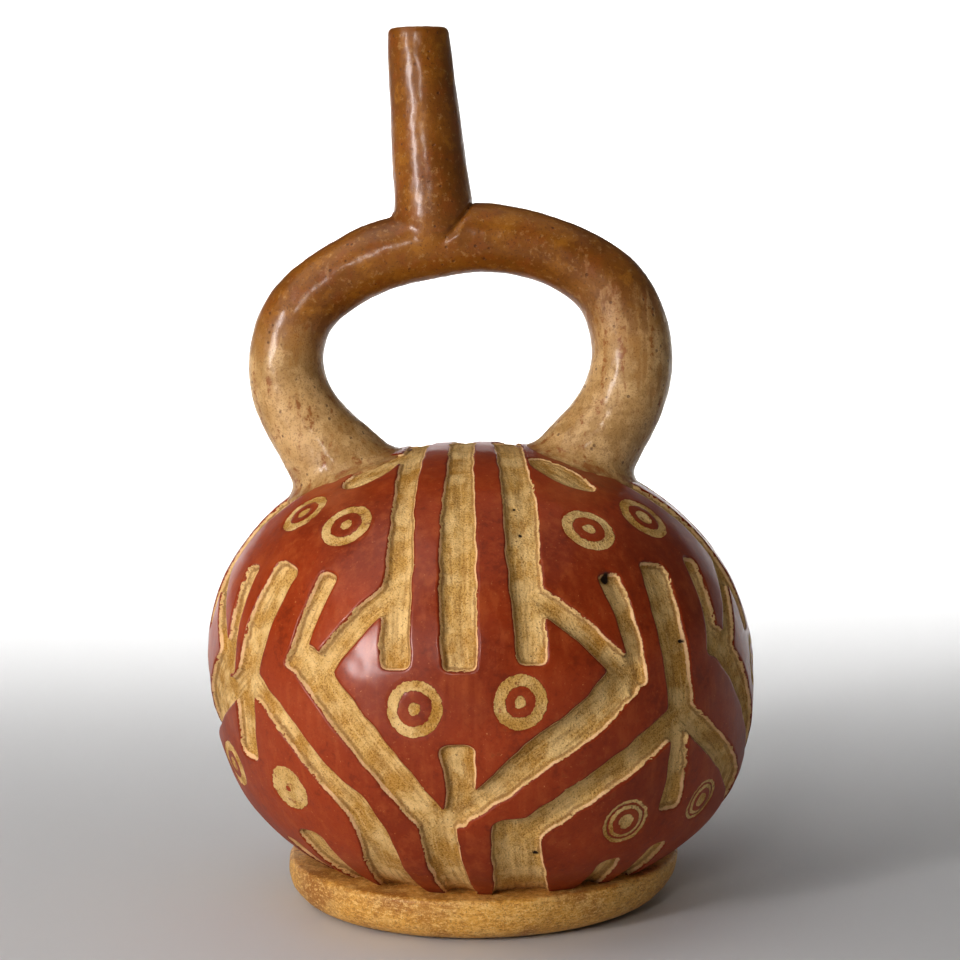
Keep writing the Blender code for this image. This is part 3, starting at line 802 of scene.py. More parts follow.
@dataclass
class CarvedBody:
    """The round body with its carved skin, one closed mesh."""

    radius: float = 75.6
    base_radius: float = 48.6
    rise: float = 61.3
    belly: float = 53.0
    fullness: tuple[float, float] = (2.11, 2.43)
    foot_height: float = 12.5
    base_cover: float = 4.5
    crown_shift: float = 2.7
    carve_depth: float = 1.95
    crown_carve_depth: float = 0.6
    deepens: tuple[float, float] = (0.10, 0.40)
    floor_flatness: float = 0.64  # 1 for a flat floor, less for a hollow one
    figure_turns: tuple[float, ...] = (-97.0, -5.0, 89.0, 176.0)
    figure_pitch: float = 94.0
    stripe_crown_x: tuple[float, ...] = (-13.8, -1.5, 10.5)
    arm_edge_down: float = 25.0
    corner: float = 0.43  # rounding of a stroke's end, as a share of its half width
    hand_wobble: float = 0.15
    eye_wobble: float = 0.17
    pit_depth: float = 0.7
    scrape_depth: float = 0.22  # of the eyes' rings and pupils
    facet_width: float = 3.3  # of the gouge's marks in a floor
    facet_depth: float = 0.13
    wall_places: tuple[float, ...] = (-0.32, 0.0, 0.28, 0.62, 1.05, 1.7)  # mm in from the edge
    wall_shares: tuple[float, ...] = (0.0, 0.10, 0.55, 0.88, 0.98, 1.0)  # of the depth there
    floor_ripples: tuple[Ripple, ...] = (Ripple(0.09, 8.0, 5), Ripple(0.04, 3.0, 6))
    skin_ripples: tuple[Ripple, ...] = (Ripple(0.16, 26.0, 1), Ripple(0.03, 6.0, 2))
    edge_step: float = 0.85
    net_step: float = 0.98
    inner_rows: tuple[float, ...] = (0.28, 0.62, 1.05, 1.7)
    outer_rows: tuple[float, ...] = (0.30, 0.75, 1.5)
    least_loop: float = 3.0  # mm2, the smallest island or nick that is kept
    meridian: Meridian = field(init=False)
    rim_count: int = field(init=False, default=0)
    cuts: list[np.ndarray] = field(init=False, default_factory=list)

    def __post_init__(self) -> None:
        """Work out the meridian."""
        belly_power = self.fullness[1]
        share = (1 - (self.base_radius / self.radius) ** belly_power) ** (1 / belly_power)
        self.meridian = Meridian(self.radius, self.rise, self.belly / share,
                                 self.foot_height + self.belly,
                                 self.foot_height - self.base_cover, self.fullness,
                                 self.crown_shift / self.rise)

    def build(self) -> bpy.types.Object:
        """Build and dress the body.

        Returns:
            The finished piece.
        """
        loops = self.merged_loops(self.outlines())
        places, faces, inside = self.triangulate(loops)
        surface = self.meridian.surface(places)
        edge = Edges([self.meridian.surface(loop) for loop in loops]).distance(surface) * inside
        marks = {"edge": edge}
        marks["eye"], marks["double"] = self.eye_zones(surface)
        marks["along"], marks["across"], marks["out"] = self.stroke_ways(surface, edge)
        marks["pit"] = self.pit_marks(surface)
        marks["low"] = smooth_step(self.meridian.widest - surface[:, 2], -6.0, 42.0)
        sunk = self.sunk(places, surface, marks)
        points = self.meridian.surface(places, sunk)
        cap = np.argsort(np.hypot(places[:, 0], places[:, 1]))[-self.rim_count:]
        cap = cap[np.argsort(np.arctan2(places[cap, 0], -places[cap, 1]))]
        middle = points[cap].mean(axis=0)
        points = np.vstack([points, middle])
        for mark, values in marks.items():
            marks[mark] = np.append(values, 0.0)
        fan = np.stack([cap, np.full(len(cap), len(points) - 1), np.roll(cap, -1)], axis=1)
        faces = np.vstack([faces, fan])
        return make_piece("bottle_body", points, faces, marks, SlipAndClay().material())

    def motifs(self) -> list[tuple[float, float, float, bool]]:
        """Where the figures stand.

        Returns:
            Degrees round, the gaps on its left and right, and whether it faces front or back,
            for each figure.
        """
        turns = self.figure_turns
        made = []
        for before, turn, after in zip((turns[-1], *turns), turns, (*turns[1:], turns[0])):
            way = math.radians(turn)
            made.append((turn, (turn - before) % 360, (after - turn) % 360,
                         abs(math.cos(way)) > abs(math.sin(way))))
        return made

    def outlines(self) -> list[np.ndarray]:
        """Outlines in the plan of every stroke on the body.

        Returns:
            Closed outlines, one for each stroke.
        """
        full = self.meridian.at_height(self.foot_height)
        made = []

        def lay(stroke: Stroke, turn: float, left: float, right: float,
                start: np.ndarray | None = None) -> None:
            """Lay a stroke on the body and keep its outline and its middle line.

            Args:
                stroke: The stroke.
                turn: Degrees round of its motif.
                left: How wide the motif's left half is drawn.
                right: How wide its right half is drawn.
                start: A place in the plan to start from, if any.
            """
            degrees = np.array([turn + d * (left if d < 0 else right) for d, _ in stroke.points])
            down = np.array([full * percent / 100 for _, percent in stroke.points])
            middle = self.meridian.plan(degrees, down)
            widths = np.array(stroke.widths)
            if start is not None:
                middle = np.vstack([start, middle])
                widths = np.append(widths[0], widths)
            made.append(self.stroke_outline(middle, widths, len(made)))

        for turn, gap_left, gap_right, front_or_back in self.motifs():
            left, right = gap_left / self.figure_pitch, gap_right / self.figure_pitch
            side = 1 if math.cos(math.radians(turn)) > 0 else -1
            for place, stripe in enumerate(STRIPES):
                if front_or_back:
                    crossing = self.stripe_crown_x[::side][place]
                    start = self.meridian.plan(math.copysign(90, crossing), abs(crossing))
                    lay(stripe, turn, left, right, start)
                else:
                    cut = Stroke(((stripe.points[1][0], self.arm_edge_down),) + stripe.points[1:],
                                 (stripe.widths[1],) + stripe.widths[1:])
                    lay(cut, turn, left, right)
            for stroke in FIGURE:
                lay(stroke, turn, left, right)
            if front_or_back:
                for leaf in LEAVES:
                    lay(leaf, turn, 1.0, 1.0)
            for stroke in STAFF_RIGHT if front_or_back else STAFF_LEFT:
                lay(stroke, turn + gap_right / 2, right, right)
        return made

    def stroke_outline(self, middle: np.ndarray, widths: np.ndarray, seed: int) -> np.ndarray:
        """Closed outline in the plan of one stroke, with the small wobble of a hand.

        Args:
            middle: Points of its middle line in the plan.
            widths: Width at each point, in mm.
            seed: Which wobble.

        Returns:
            The outline.
        """
        scale = self.meridian.scale(middle.mean(axis=0))
        line = smooth_line(np.column_stack([middle, widths]), self.edge_step * float(scale))
        centre, width = line[:, :2], line[:, 2]
        self.cuts.append(line)
        tangent = np.gradient(centre, axis=0)
        tangent /= np.linalg.norm(tangent, axis=1)[:, None]
        across = np.column_stack([-tangent[:, 1], tangent[:, 0]])
        spread = self.meridian.scale(centre)
        steps = np.linalg.norm(np.diff(centre, axis=0), axis=1) * 2 / (spread[1:] + spread[:-1])
        run = np.concatenate([[0], np.cumsum(steps)])
        total = run[-1]
        sides = []
        for side in (1, -1):
            tip = self.corner / 2 * width
            from_end = np.minimum(run, total - run)
            bare = np.clip(1 - from_end / tip, 0, 1)
            rounding = 1 - self.corner + self.corner * np.sqrt(1 - bare ** 2)
            wobble = waves(run[:, None], 10.0, seed * 2 + side + 40) * self.hand_wobble
            wobble += waves(run[:, None], 3.4, seed * 2 + side + 400) * self.hand_wobble * 0.35
            half = (width / 2 + wobble) * rounding
            sides.append(centre + side * across * (half * spread)[:, None])
        return np.vstack([sides[1], sides[0][::-1]])

    def merged_loops(self, outlines: list[np.ndarray]) -> list[np.ndarray]:
        """Edge of the carved ground: the outlines joined where they overlap, in even steps.

        Args:
            outlines: Outlines in the plan.

        Returns:
            Closed loops in the plan, with the carved ground on their left.
        """
        points, faces = [], []
        for outline in outlines:
            ordered = outline if signed_area(outline) > 0 else outline[::-1]
            faces.append(list(range(len(points), len(points) + len(ordered))))
            points += [Vector(place) for place in ordered]
        places, _, triangles, _, _, sources = delaunay_2d_cdt(points, [], faces, 0, PLAN_MERGE)
        carved = {}
        for triangle, source in zip(triangles, sources):
            for a, b in zip(triangle, triangle[1:] + triangle[:1]):
                carved[(a, b)] = bool(source)
        following = {}
        for (a, b), sunk in carved.items():
            if sunk and not carved.get((b, a), False):
                following.setdefault(a, []).append(b)
        loops = []
        while following:
            start = next(iter(following))
            loop = [start]
            here = start
            while True:
                ahead = following[here].pop()
                if not following[here]:
                    del following[here]
                if ahead == start:
                    break
                loop.append(ahead)
                here = ahead
            even = self.even_loop(np.array([places[k] for k in loop]))
            if even is not None:
                loops.append(even)
        return loops

    def even_loop(self, loop: np.ndarray) -> np.ndarray | None:
        """The same loop in even steps and a little rounded, or nothing if it is too small.

        Args:
            loop: A closed loop in the plan.

        Returns:
            The new loop, if any.
        """
        flat = loop / self.meridian.scale(loop)[:, None]
        steps = np.linalg.norm(np.roll(loop, -1, axis=0) - loop, axis=1) / self.meridian.scale(loop)
        total = steps.sum()
        if abs(signed_area(flat)) < self.least_loop or total < 4 * math.sqrt(self.least_loop):
            return None
        run = np.concatenate([[0], np.cumsum(steps)])
        closed = np.vstack([loop, loop[:1]])
        at = np.linspace(0, total, max(8, round(total / self.edge_step)), endpoint=False)
        even = np.column_stack([np.interp(at, run, closed[:, 0]), np.interp(at, run, closed[:, 1])])
        return (np.roll(even, 1, axis=0) + 2 * even + np.roll(even, -1, axis=0)) / 4

    def triangulate(self, loops: list[np.ndarray]) -> tuple[np.ndarray, np.ndarray, np.ndarray]:
        """Fill the plan with triangles that follow the edges of the carved ground.

        Args:
            loops: Edges of the carved ground in the plan.

        Returns:
            Places in the plan, triangles, and for each place 1 inside the carved ground, 0 on
            its edge and -1 outside.
        """
        points, faces = [], []
        for loop in loops:
            indices = list(range(len(points), len(points) + len(loop)))
            faces.append(indices if signed_area(loop) > 0 else indices[::-1])
            points += [Vector(place) for place in loop]
        edges = Edges([self.meridian.surface(loop) for loop in loops])
        free = self.free_points(loops, edges)
        points += [Vector(place) for place in free]
        self.rim_count = round(2 * math.pi * self.meridian.reach[-1] / self.net_step / 2)
        rim_turns = np.arange(self.rim_count) * 360 / self.rim_count
        rim = self.meridian.plan(rim_turns, self.meridian.down[-1])
        faces.append(list(range(len(points), len(points) + len(rim))))
        points += [Vector(place) for place in rim]
        made, _, triangles, _, _, sources = delaunay_2d_cdt(points, [], faces, 1, PLAN_MERGE)
        disc = len(faces) - 1
        sunk = np.array([sum(1 for face in source if face != disc) % 2 for source in sources])
        corners = np.array(triangles)
        places = np.array(made)
        low = np.ones(len(places))
        high = np.zeros(len(places))
        for column in corners.T:
            np.minimum.at(low, column, sunk)
            np.maximum.at(high, column, sunk)
        return places, corners, low + high - 1

    def free_points(self, loops: list[np.ndarray], edges: Edges) -> np.ndarray:
        """Places between the edges: rows that follow them, eye and pit rings, and an even net.

        Args:
            loops: Edges of the carved ground in the plan.
            edges: The same edges, for measuring.

        Returns:
            Places in the plan.
        """
        rows = []
        for loop in loops:
            tangent = np.roll(loop, -1, axis=0) - np.roll(loop, 1, axis=0)
            tangent /= np.linalg.norm(tangent, axis=1)[:, None]
            inward = np.column_stack([-tangent[:, 1], tangent[:, 0]])
            scale = self.meridian.scale(loop)[:, None]
            for offset in (*self.inner_rows, *(-row for row in self.outer_rows)):
                row = loop + inward * offset * scale
                clear = edges.distance(self.meridian.surface(row)) > abs(offset) * 0.93
                rows.append(row[clear])
        rings = self.ring_points()
        ring_clear = edges.distance(self.meridian.surface(rings)) > 0.4
        rows = np.vstack([rings[ring_clear], *rows])
        net = []
        count = round(self.meridian.down[-1] / self.net_step)
        for row in range(1, count):
            down = self.meridian.down[-1] * row / count
            around = 2 * math.pi * float(np.interp(down, self.meridian.down, self.meridian.reach))
            number = max(6, round(around / self.net_step))
            net.append(self.meridian.plan((np.arange(number) + row % 2 / 2) * 360 / number, down))
        net = np.vstack(net)
        beyond = max(self.inner_rows[-1], self.outer_rows[-1])
        net = net[edges.distance(self.meridian.surface(net)) > beyond + self.net_step * 0.35]
        everything = np.vstack([rows, net])
        solid = self.meridian.surface(everything)
        tree = search_tree(solid)
        kept = np.ones(len(solid), dtype=bool)
        for number, point in enumerate(solid):
            if kept[number]:
                for _, other, _ in tree.find_range(point, self.net_step * 0.42):
                    if other > number:
                        kept[other] = False
        inside = self.meridian.down_of(everything) < self.meridian.down[-1] - self.net_step * 0.5
        return everything[kept & inside]

    def eyes(self) -> list[tuple[float, Eye]]:
        """Every eye on the body with the degrees round of its middle.

        Returns:
            The degrees and the eye, for each.
        """
        made = []
        for turn, _, gap, front_or_back in self.motifs():
            across = gap / self.figure_pitch
            made += [(turn + eye.turn, eye) for eye in FIGURE_EYES]
            staff = STAFF_RIGHT_EYES if front_or_back else STAFF_LEFT_EYES
            made += [(turn + gap / 2 + eye.turn * across, eye) for eye in staff]
        return made

    def ring_points(self) -> np.ndarray:
        """Places on circles round each eye and pit, so that their edges are round.

        Returns:
            Places in the plan.
        """
        rings = []
        for turn, eye in self.eyes():
            radii = (0.0, eye.pupil, (eye.pupil + eye.inner) / 2, eye.inner,
                     (eye.inner + eye.outer) / 2, eye.outer, eye.outer + 0.5)
            rings.append(self.circles(turn, eye.down, radii))
        for pit in PITS:
            radii = (0.0, pit.radius * 0.5, pit.radius, pit.radius * 1.6)
            rings.append(self.circles(pit.turn, pit.down, radii))
        return np.vstack(rings)

    def circles(self, turn: float, down: float, radii: tuple[float, ...]) -> np.ndarray:
        """Places on circles of given radii in mm round a point of the body.

        Args:
            turn: Degrees round of the middle.
            down: Its mm down.
            radii: Radii in mm, the first of them 0.

        Returns:
            Places in the plan.
        """
        middle = self.meridian.plan(turn, down)
        scale = float(self.meridian.scale(middle))
        made = [middle[None]]
        for radius in radii[1:]:
            number = max(6, round(2 * math.pi * radius / 0.6))
            angle = np.arange(number) * 2 * math.pi / number
            made.append(middle + radius * scale * np.column_stack([np.cos(angle), np.sin(angle)]))
        return np.vstack(made)

    def eye_zones(self, surface: np.ndarray) -> tuple[np.ndarray, np.ndarray]:
        """Zone of the nearest eye at each point, and whether its ring is double.

        Args:
            surface: Points on the even skin.

        Returns:
            The zones, and 1 for a double ring.
        """
        zone = np.full(len(surface), 9.0)
        double = np.zeros(len(surface))
        for turn, eye in self.eyes():
            middle = self.meridian.surface(self.meridian.plan(turn, eye.down))
            apart = surface - middle
            distance = np.linalg.norm(apart, axis=1)
            way = apart / np.maximum(distance, 1e-6)[:, None]
            wobble = self.eye_wobble * waves(way, 2.6, round(eye.down * 10))
            here = eye.zone(distance + wobble * (distance > 0.8))
            nearer = here < zone
            zone[nearer] = here[nearer]
            double[nearer] = eye.ring is Ring.DOUBLE
        return zone, double

    def stroke_ways(self, surface: np.ndarray,
                    edge: np.ndarray) -> tuple[np.ndarray, np.ndarray, np.ndarray]:
        """Place in the nearest stroke of each carved point.

        Args:
            surface: Points on the even skin.
            edge: Distance from the carved ground's edge, negative on the skin.

        Returns:
            Distances along and across the stroke in mm, and across as a share of half its width.
        """
        along = np.zeros(len(surface))
        across = np.zeros(len(surface))
        share_out = np.zeros(len(surface))
        carved = np.nonzero(edge > -0.5)[0]
        best = np.full(len(carved), np.inf)
        here = surface[carved]
        offset = 0.0
        for line in self.cuts:
            thin = np.vstack([line[:-1:5], line[-1:]])
            nodes = self.meridian.surface(thin[:, :2])
            run = np.concatenate([[0], np.cumsum(np.linalg.norm(np.diff(nodes, axis=0), axis=1))])
            for start, end, gone, width in zip(nodes, nodes[1:], run, thin[:, 2]):
                way = end - start
                length = max(np.linalg.norm(way), 1e-9)
                share = np.clip((here - start) @ way / length ** 2, 0, 1)
                foot = start + share[:, None] * way
                apart = np.linalg.norm(here - foot, axis=1)
                near = apart < best
                best[near] = apart[near]
                outward = foot[near] - np.array([0.0, 0.0, self.meridian.widest])
                across_way = np.cross(way / length, here[near] - foot[near])
                side = np.einsum("ij,ij->i", across_way, outward)
                across[carved[near]] = apart[near] * np.sign(side)
                along[carved[near]] = offset + gone + share[near] * length
                share_out[carved[near]] = np.minimum(apart[near] / (width / 2), 1.2)
            offset += STROKE_GAP
        return along, across, share_out

    def pit_marks(self, surface: np.ndarray) -> np.ndarray:
        """How deep in a pit each point is, from 0 to 1.

        Args:
            surface: Points on the even skin.

        Returns:
            One mark for each.
        """
        mark = np.zeros(len(surface))
        for pit in PITS:
            middle = self.meridian.surface(self.meridian.plan(pit.turn, pit.down))
            apart = np.linalg.norm(surface - middle, axis=1)
            mark = np.maximum(mark, np.exp(-(apart / pit.radius) ** 2))
        return mark

    def sunk(self, places: np.ndarray, surface: np.ndarray,
             marks: dict[str, np.ndarray]) -> np.ndarray:
        """How far each point is sunk below the even skin, in mm.

        Args:
            places: Places in the plan.
            surface: The same in space.
            marks: Marks of each point.

        Returns:
            The depths.
        """
        edge = marks["edge"]
        share = self.meridian.down_of(places) / self.meridian.down[-1]
        full = np.interp(share, self.deepens, (self.crown_carve_depth, self.carve_depth))
        profile = np.interp(edge, self.wall_places, self.wall_shares)
        floor = smooth_step(edge, 0.4, 1.6)
        hollow = (1 - self.floor_flatness) * (1.3 - marks["out"] ** 2)
        depth = full * profile * (self.floor_flatness + hollow)
        drift = waves(surface, 30.0, 8) * 1.2
        facets = np.sin(marks["across"] * 2 * math.pi / self.facet_width + drift)
        depth += floor * (uneven(surface, self.floor_ripples) + self.facet_depth * facets)
        ring = smooth_step(marks["eye"], 1.95, 2.15) * (1 - smooth_step(marks["eye"], 2.9, 3.1))
        pupil = 1 - smooth_step(marks["eye"], 0.85, 1.1)
        depth += self.scrape_depth * np.maximum(ring, pupil) * (edge < 0)
        depth += self.pit_depth * marks["pit"]
        skin = 1 - smooth_step(edge, -0.3, 0.3)
        depth += skin * uneven(surface, self.skin_ripples)
        return depth


@dataclass(frozen=True)
class TubeSlip:
    """Finish of the stirrup and spout: orange-brown slip above, worn to cream clay lower down."""

    slip: Tone = (152, 95, 21)
    slip_deep: Tone = (120, 69, 12)
    slip_red: Tone = (142, 76, 19)
    clay: Tone = (204, 164, 108)
    clay_pale: Tone = (226, 190, 138)
    clay_olive: Tone = (178, 140, 86)
    gold: Tone = (182, 122, 38)
    brown: Tone = (132, 90, 44)
    dirt: Tone = (78, 44, 20)

    def material(self) -> bpy.types.Material:
        """Build the material.

        Returns:
            The finished material.
        """
        paint = Paint("orange slip on the stirrup")
        broad = paint.noise(22.0, 3.0)
        patches = paint.noise(6.0, 4.0, rough=0.6)
        fine = paint.noise(1.6, 3.0, rough=0.65)
        grain = paint.noise(0.5, 2.0)
        streaks = paint.noise(3.0, 3.0, (1.0, 1.0, 0.16))
        wear = paint.mark("bare")
        torn = wear + (patches - 0.5) * 1.1 + (streaks - 0.5) * 2.4 + (fine - 0.5) * 0.5
        torn = torn.rise(0.38, 0.7)
        bare = torn * 0.4 + (wear + (broad - 0.5) * 0.6).rise(0.0, 0.9) * 0.6

        slip = paint.mix(broad.rise(0.35, 0.65), self.slip_deep, self.slip)
        slip = paint.layers(
            slip,
            (patches.rise(0.5, 0.64) * 0.5, self.slip_red),
            (patches.rise(0.48, 0.34) * 0.4, self.gold),
            (fine.rise(0.56, 0.7) * 0.3, self.clay),
            (fine.rise(0.46, 0.36) * 0.4, self.slip_deep),
            (grain.rise(0.6, 0.7) * 0.55, self.dirt),
        )
        clay = paint.mix(broad.rise(0.4, 0.62), self.clay, self.clay_olive)
        clay = paint.layers(
            clay,
            (patches.rise(0.42, 0.7) * 0.6, self.clay_pale),
            (streaks.rise(0.52, 0.7) * 0.35, self.slip),
            (fine.rise(0.52, 0.66) * 0.35, self.brown),
            (grain.rise(0.54, 0.64) * 0.4, self.brown),
            (streaks.rise(0.54, 0.62) * fine.rise(0.5, 0.58) * 0.6, self.slip_red),
        )
        flecks = paint.cells(2.6).rise(0.2, 0.12) * patches.rise(0.5, 0.58)
        smear = paint.mark("joint").rise(0.25, 0.7) * streaks.rise(0.4, 0.6)
        colour = paint.layers(paint.mix(bare, slip, clay), (flecks * 0.6, self.dirt),
                              (smear * 0.6, self.slip_red))
        roughness = paint.between(fine * 0.6 + grain * 0.4, 0.26, 0.48) + bare * 0.08
        height = fine * 0.6 + grain * (bare * 0.3 + 0.4) + streaks * 0.5 - flecks * 1.2
        return paint.finish({
            "Base Color": colour,
            "Roughness": roughness,
            "Coat Weight": 0.36 - bare * 0.04,
            "Coat Roughness": 0.2,
            "Specular IOR Level": 0.3,
            "Normal": paint.bump(height, 0.12),
        })


def smooth_least(first: np.ndarray, second: np.ndarray, blend: np.ndarray | float) -> np.ndarray:
    """The smaller of two distances, blended where they are close: a fillet of about that size."""
    share = np.clip(0.5 + 0.5 * (second - first) / blend, 0, 1)
    return second + (first - second) * share - blend * share * (1 - share)


@dataclass
class StirrupAndSpout:
    """The hollow arch and its spout, one blended skin."""

    body: CarvedBody
    centre: float = -5.0
    half_span: float = 48.2
    root_sink: float = 13.8
    top_rise: float = 56.5
    radius: float = 10.5
    wall: float = 5.3
    left_arm: tuple[ArmPoint, ...] = (
        (0.60, 0.000, 1.50), (0.69, 0.107, 1.32), (0.83, 0.228, 1.11), (0.94, 0.344, 1.04),
        (1.00, 0.505, 0.98), (0.93, 0.700, 0.95), (0.745, 0.822, 0.885), (0.477, 0.923, 0.91))
    right_arm: tuple[ArmPoint, ...] = (
        (0.635, 0.000, 1.50), (0.710, 0.114, 1.32), (0.846, 0.242, 1.12), (0.954, 0.376, 1.09),
        (1.00, 0.555, 1.07), (0.90, 0.775, 0.98), (0.753, 0.868, 0.90), (0.498, 0.955, 0.86))
    arch_top: ArmPoint = (0.08, 1.000, 0.91)
    spout_length: float = 56.7
    spout_offset: float = -5.8
    spout_shift: float = -4.2
    spout_top: float = 8.3
    spout_base: float = 10.9
    spout_wall: float = 3.3
    lip_flare: float = 1.4
    tongue_start: float = 6.7  # above the arch's middle line, where the spout closes
    tongue_length: float = 16.0
    fillets: tuple[float, float] = (3.2, 1.6)  # left of the spout and right of it
    crease_fillet: float = 0.7
    crease_width: float = 0.55
    crease_depth: float = 0.8
    ridge_height: float = 0.15
    root_fillet: float = 4.5
    root_zone: float = 34.0  # height of the arms' part that the root's fillet can reach
    sunk_end: float = 1.8  # how far the arms reach below the body's skin
    rim_rounding: float = 1.8
    lip_height: float = 3.5  # over which the mouth flares
    bore_rounding: float = 1.2
    line_step: float = 0.5
    line_smoothing: int = 160  # rounds that even out the middle line
    grid: float = 0.75
    ripples: tuple[Ripple, ...] = (Ripple(0.11, 21.0, 21), Ripple(0.05, 6.5, 22),
                                   Ripple(0.025, 2.6, 23))

    def __post_init__(self) -> None:
        """Work out the heights and the middle line."""
        crown = self.body.meridian.height[0]
        self.root_height = crown - self.root_sink
        self.top_height = crown + self.top_rise
        self.rim_height = self.top_height + self.spout_length
        rise = self.top_height - self.root_height
        line = [(self.centre - s * self.half_span, self.root_height + r * rise, w * self.radius)
                for s, r, w in self.left_arm]
        span, share, width = self.arch_top
        line.append((self.centre + span * self.half_span, self.root_height + share * rise,
                     width * self.radius))
        line += [(self.centre + s * self.half_span, self.root_height + r * rise, w * self.radius)
                 for s, r, w in self.right_arm[::-1]]
        self.line = smooth_line(np.array(line), self.line_step)
        for _ in range(self.line_smoothing):
            self.line[1:-1] = (self.line[:-2] + 2 * self.line[1:-1] + self.line[2:]) / 4

    def build(self) -> bpy.types.Object:
        """Build and dress the stirrup and spout.

        Returns:
            The finished piece.
        """
        low = np.array([self.centre - self.half_span - 14, -22.0, self.root_height - 6])
        high = np.array([self.centre + self.half_span + 14, 22.0, self.rim_height + 3])
        points, quads = surface_net(self.distance, low, high, self.grid)
        points += normals(self.distance, points) * uneven(points, self.ripples)[:, None]
        return make_piece("bottle_stirrup_and_spout", points, quads, self.marks(points),
                          TubeSlip().material())

    def nearest(self, x: np.ndarray, z: np.ndarray) -> tuple[np.ndarray, np.ndarray]:
        """Distance from the middle line in its own plane, and the tube's radius there.

        Args:
            x: Sideways places.
            z: Heights.

        Returns:
            The distances and the radii.
        """
        flat = np.column_stack([x.ravel(), z.ravel()])
        keys, back = np.unique(np.round(flat, 4), axis=0, return_inverse=True)
        tree = search_tree(self.line * (1, 1, 0))
        found = np.array([tree.find((kx, kz, 0))[1] for kx, kz in keys])
        here = self.line[found]
        apart = np.hypot(keys[:, 0] - here[:, 0], keys[:, 1] - here[:, 1])
        return apart[back].reshape(x.shape), here[:, 2][back].reshape(x.shape)

    def spout_middle(self, z: np.ndarray) -> np.ndarray:
        """Sideways place of the leaning spout at heights."""
        share = (z - self.top_height) / self.spout_length
        return self.centre + self.spout_offset + self.spout_shift * share

    def body_distance(self, x: np.ndarray, y: np.ndarray, z: np.ndarray) -> np.ndarray:
        """Distance from the body's even skin.

        Args:
            x: Sideways places.
            y: Places front to back.
            z: Heights.

        Returns:
            The distances, negative inside the body.
        """
        body = self.body
        rise, power = body.rise, body.fullness[0]
        mid = x - body.meridian.lean * (body.meridian.widest - z)
        reach = np.hypot(mid, y) + 1e-6
        height = np.maximum(z - body.meridian.widest, 1e-3)
        level = (reach / body.radius) ** power + (height / rise) ** power
        slope = np.hypot(power * (reach / body.radius) ** (power - 1) / body.radius,
                         power * (height / rise) ** (power - 1) / rise)
        return (level - 1) / slope

    def distance(self, x: np.ndarray, y: np.ndarray, z: np.ndarray) -> np.ndarray:
        """Distance from the skin of the stirrup and spout, negative in the clay.

        Args:
            x: Sideways places.
            y: Places front to back.
            z: Heights.

        Returns:
            The distances in mm.
        """
        apart, radius = self.nearest(x, z)
        tube = np.hypot(apart, y) - radius
        middle = self.spout_middle(z)
        from_middle = np.hypot(x - middle, y)
        closed = self.top_height + self.tongue_start
        share = np.maximum(z - closed, 0) / (self.spout_length - self.tongue_start)
        cone = from_middle - (self.spout_base + (self.spout_top - self.spout_base) * share)
        cone = -smooth_least(-cone, self.rim_height + 0.2 - z, self.rim_rounding)
        below = np.clip((closed - z) / self.tongue_length, 0, None)
        tongue = from_middle - self.spout_base * np.sqrt(np.clip(1 - below ** 2, 0, None))
        cone = np.where(below > 0, np.maximum(tongue, (below - 1) * self.tongue_length), cone)
        side = smooth_step(x - middle, -4.0, 6.0)
        above = smooth_step(z, self.top_height + 3, self.top_height + 9)
        blend = self.fillets[0] + (self.fillets[1] - self.fillets[0]) * side
        blend = self.crease_fillet + (blend - self.crease_fillet) * above
        crease = (self.crease_depth + self.ridge_height) * side - self.ridge_height
        crease = crease * np.exp(-((tube - cone) / self.crease_width) ** 2)
        skin = self.body_distance(x, y, z)
        flare = smooth_least(tube, skin + 0.2, self.root_fillet)
        flare = np.maximum(flare, tube - self.root_fillet)
        solid = np.minimum(tube, np.where(z < self.root_height + self.root_zone, flare, tube))
        upper = z > self.top_height - self.tongue_length
        solid = np.where(upper, smooth_least(tube, cone, blend) + crease, solid)
        solid = np.maximum(solid, -(skin + self.sunk_end))
        flared = smooth_step(z, self.rim_height - self.lip_height, self.rim_height + 1)
        bore = from_middle - (self.spout_top - self.spout_wall + self.lip_flare * flared)
        bore = np.maximum(bore, self.top_height - z)
        hollow = np.minimum(bore, np.hypot(apart, y) - (self.radius - self.wall))
        return -smooth_least(-solid, hollow, self.bore_rounding)

    def marks(self, points: np.ndarray) -> dict[str, np.ndarray]:
        """Values that the finish reads: how bare the clay is, and how near the body.

        Args:
            points: Points of the skin.

        Returns:
            The values by name.
        """
        x, y, z = points.T
        arm = np.abs(x - self.centre) / self.half_span
        rise = (z - self.root_height) / (self.top_height - self.root_height)
        left = smooth_step(-rise, -0.84, -0.38)
        right = smooth_step(-rise, -1.08, -0.3) * 0.92
        bare = np.where(x < self.centre, left, right) * smooth_step(arm, 0.1, 0.6)
        skin = self.body_distance(x, y, z)
        joint = 1 - smooth_step(skin, 0.2, 1.6)
        return {"bare": bare, "joint": joint}


def normals(distance: Callable, points: np.ndarray, probe: float = 0.05) -> np.ndarray:
    """Outward directions of a distance at points, each of length one.

    Args:
        distance: Function of x, y and z.
        points: Places in mm.
        probe: How far to each side the distance is taken.

    Returns:
        One direction for each point.
    """
    slope = np.stack([distance(*(points + shift).T) - distance(*(points - shift).T)
                      for shift in np.eye(3) * probe], axis=1)
    return slope / np.maximum(np.linalg.norm(slope, axis=1), 1e-9)[:, None]


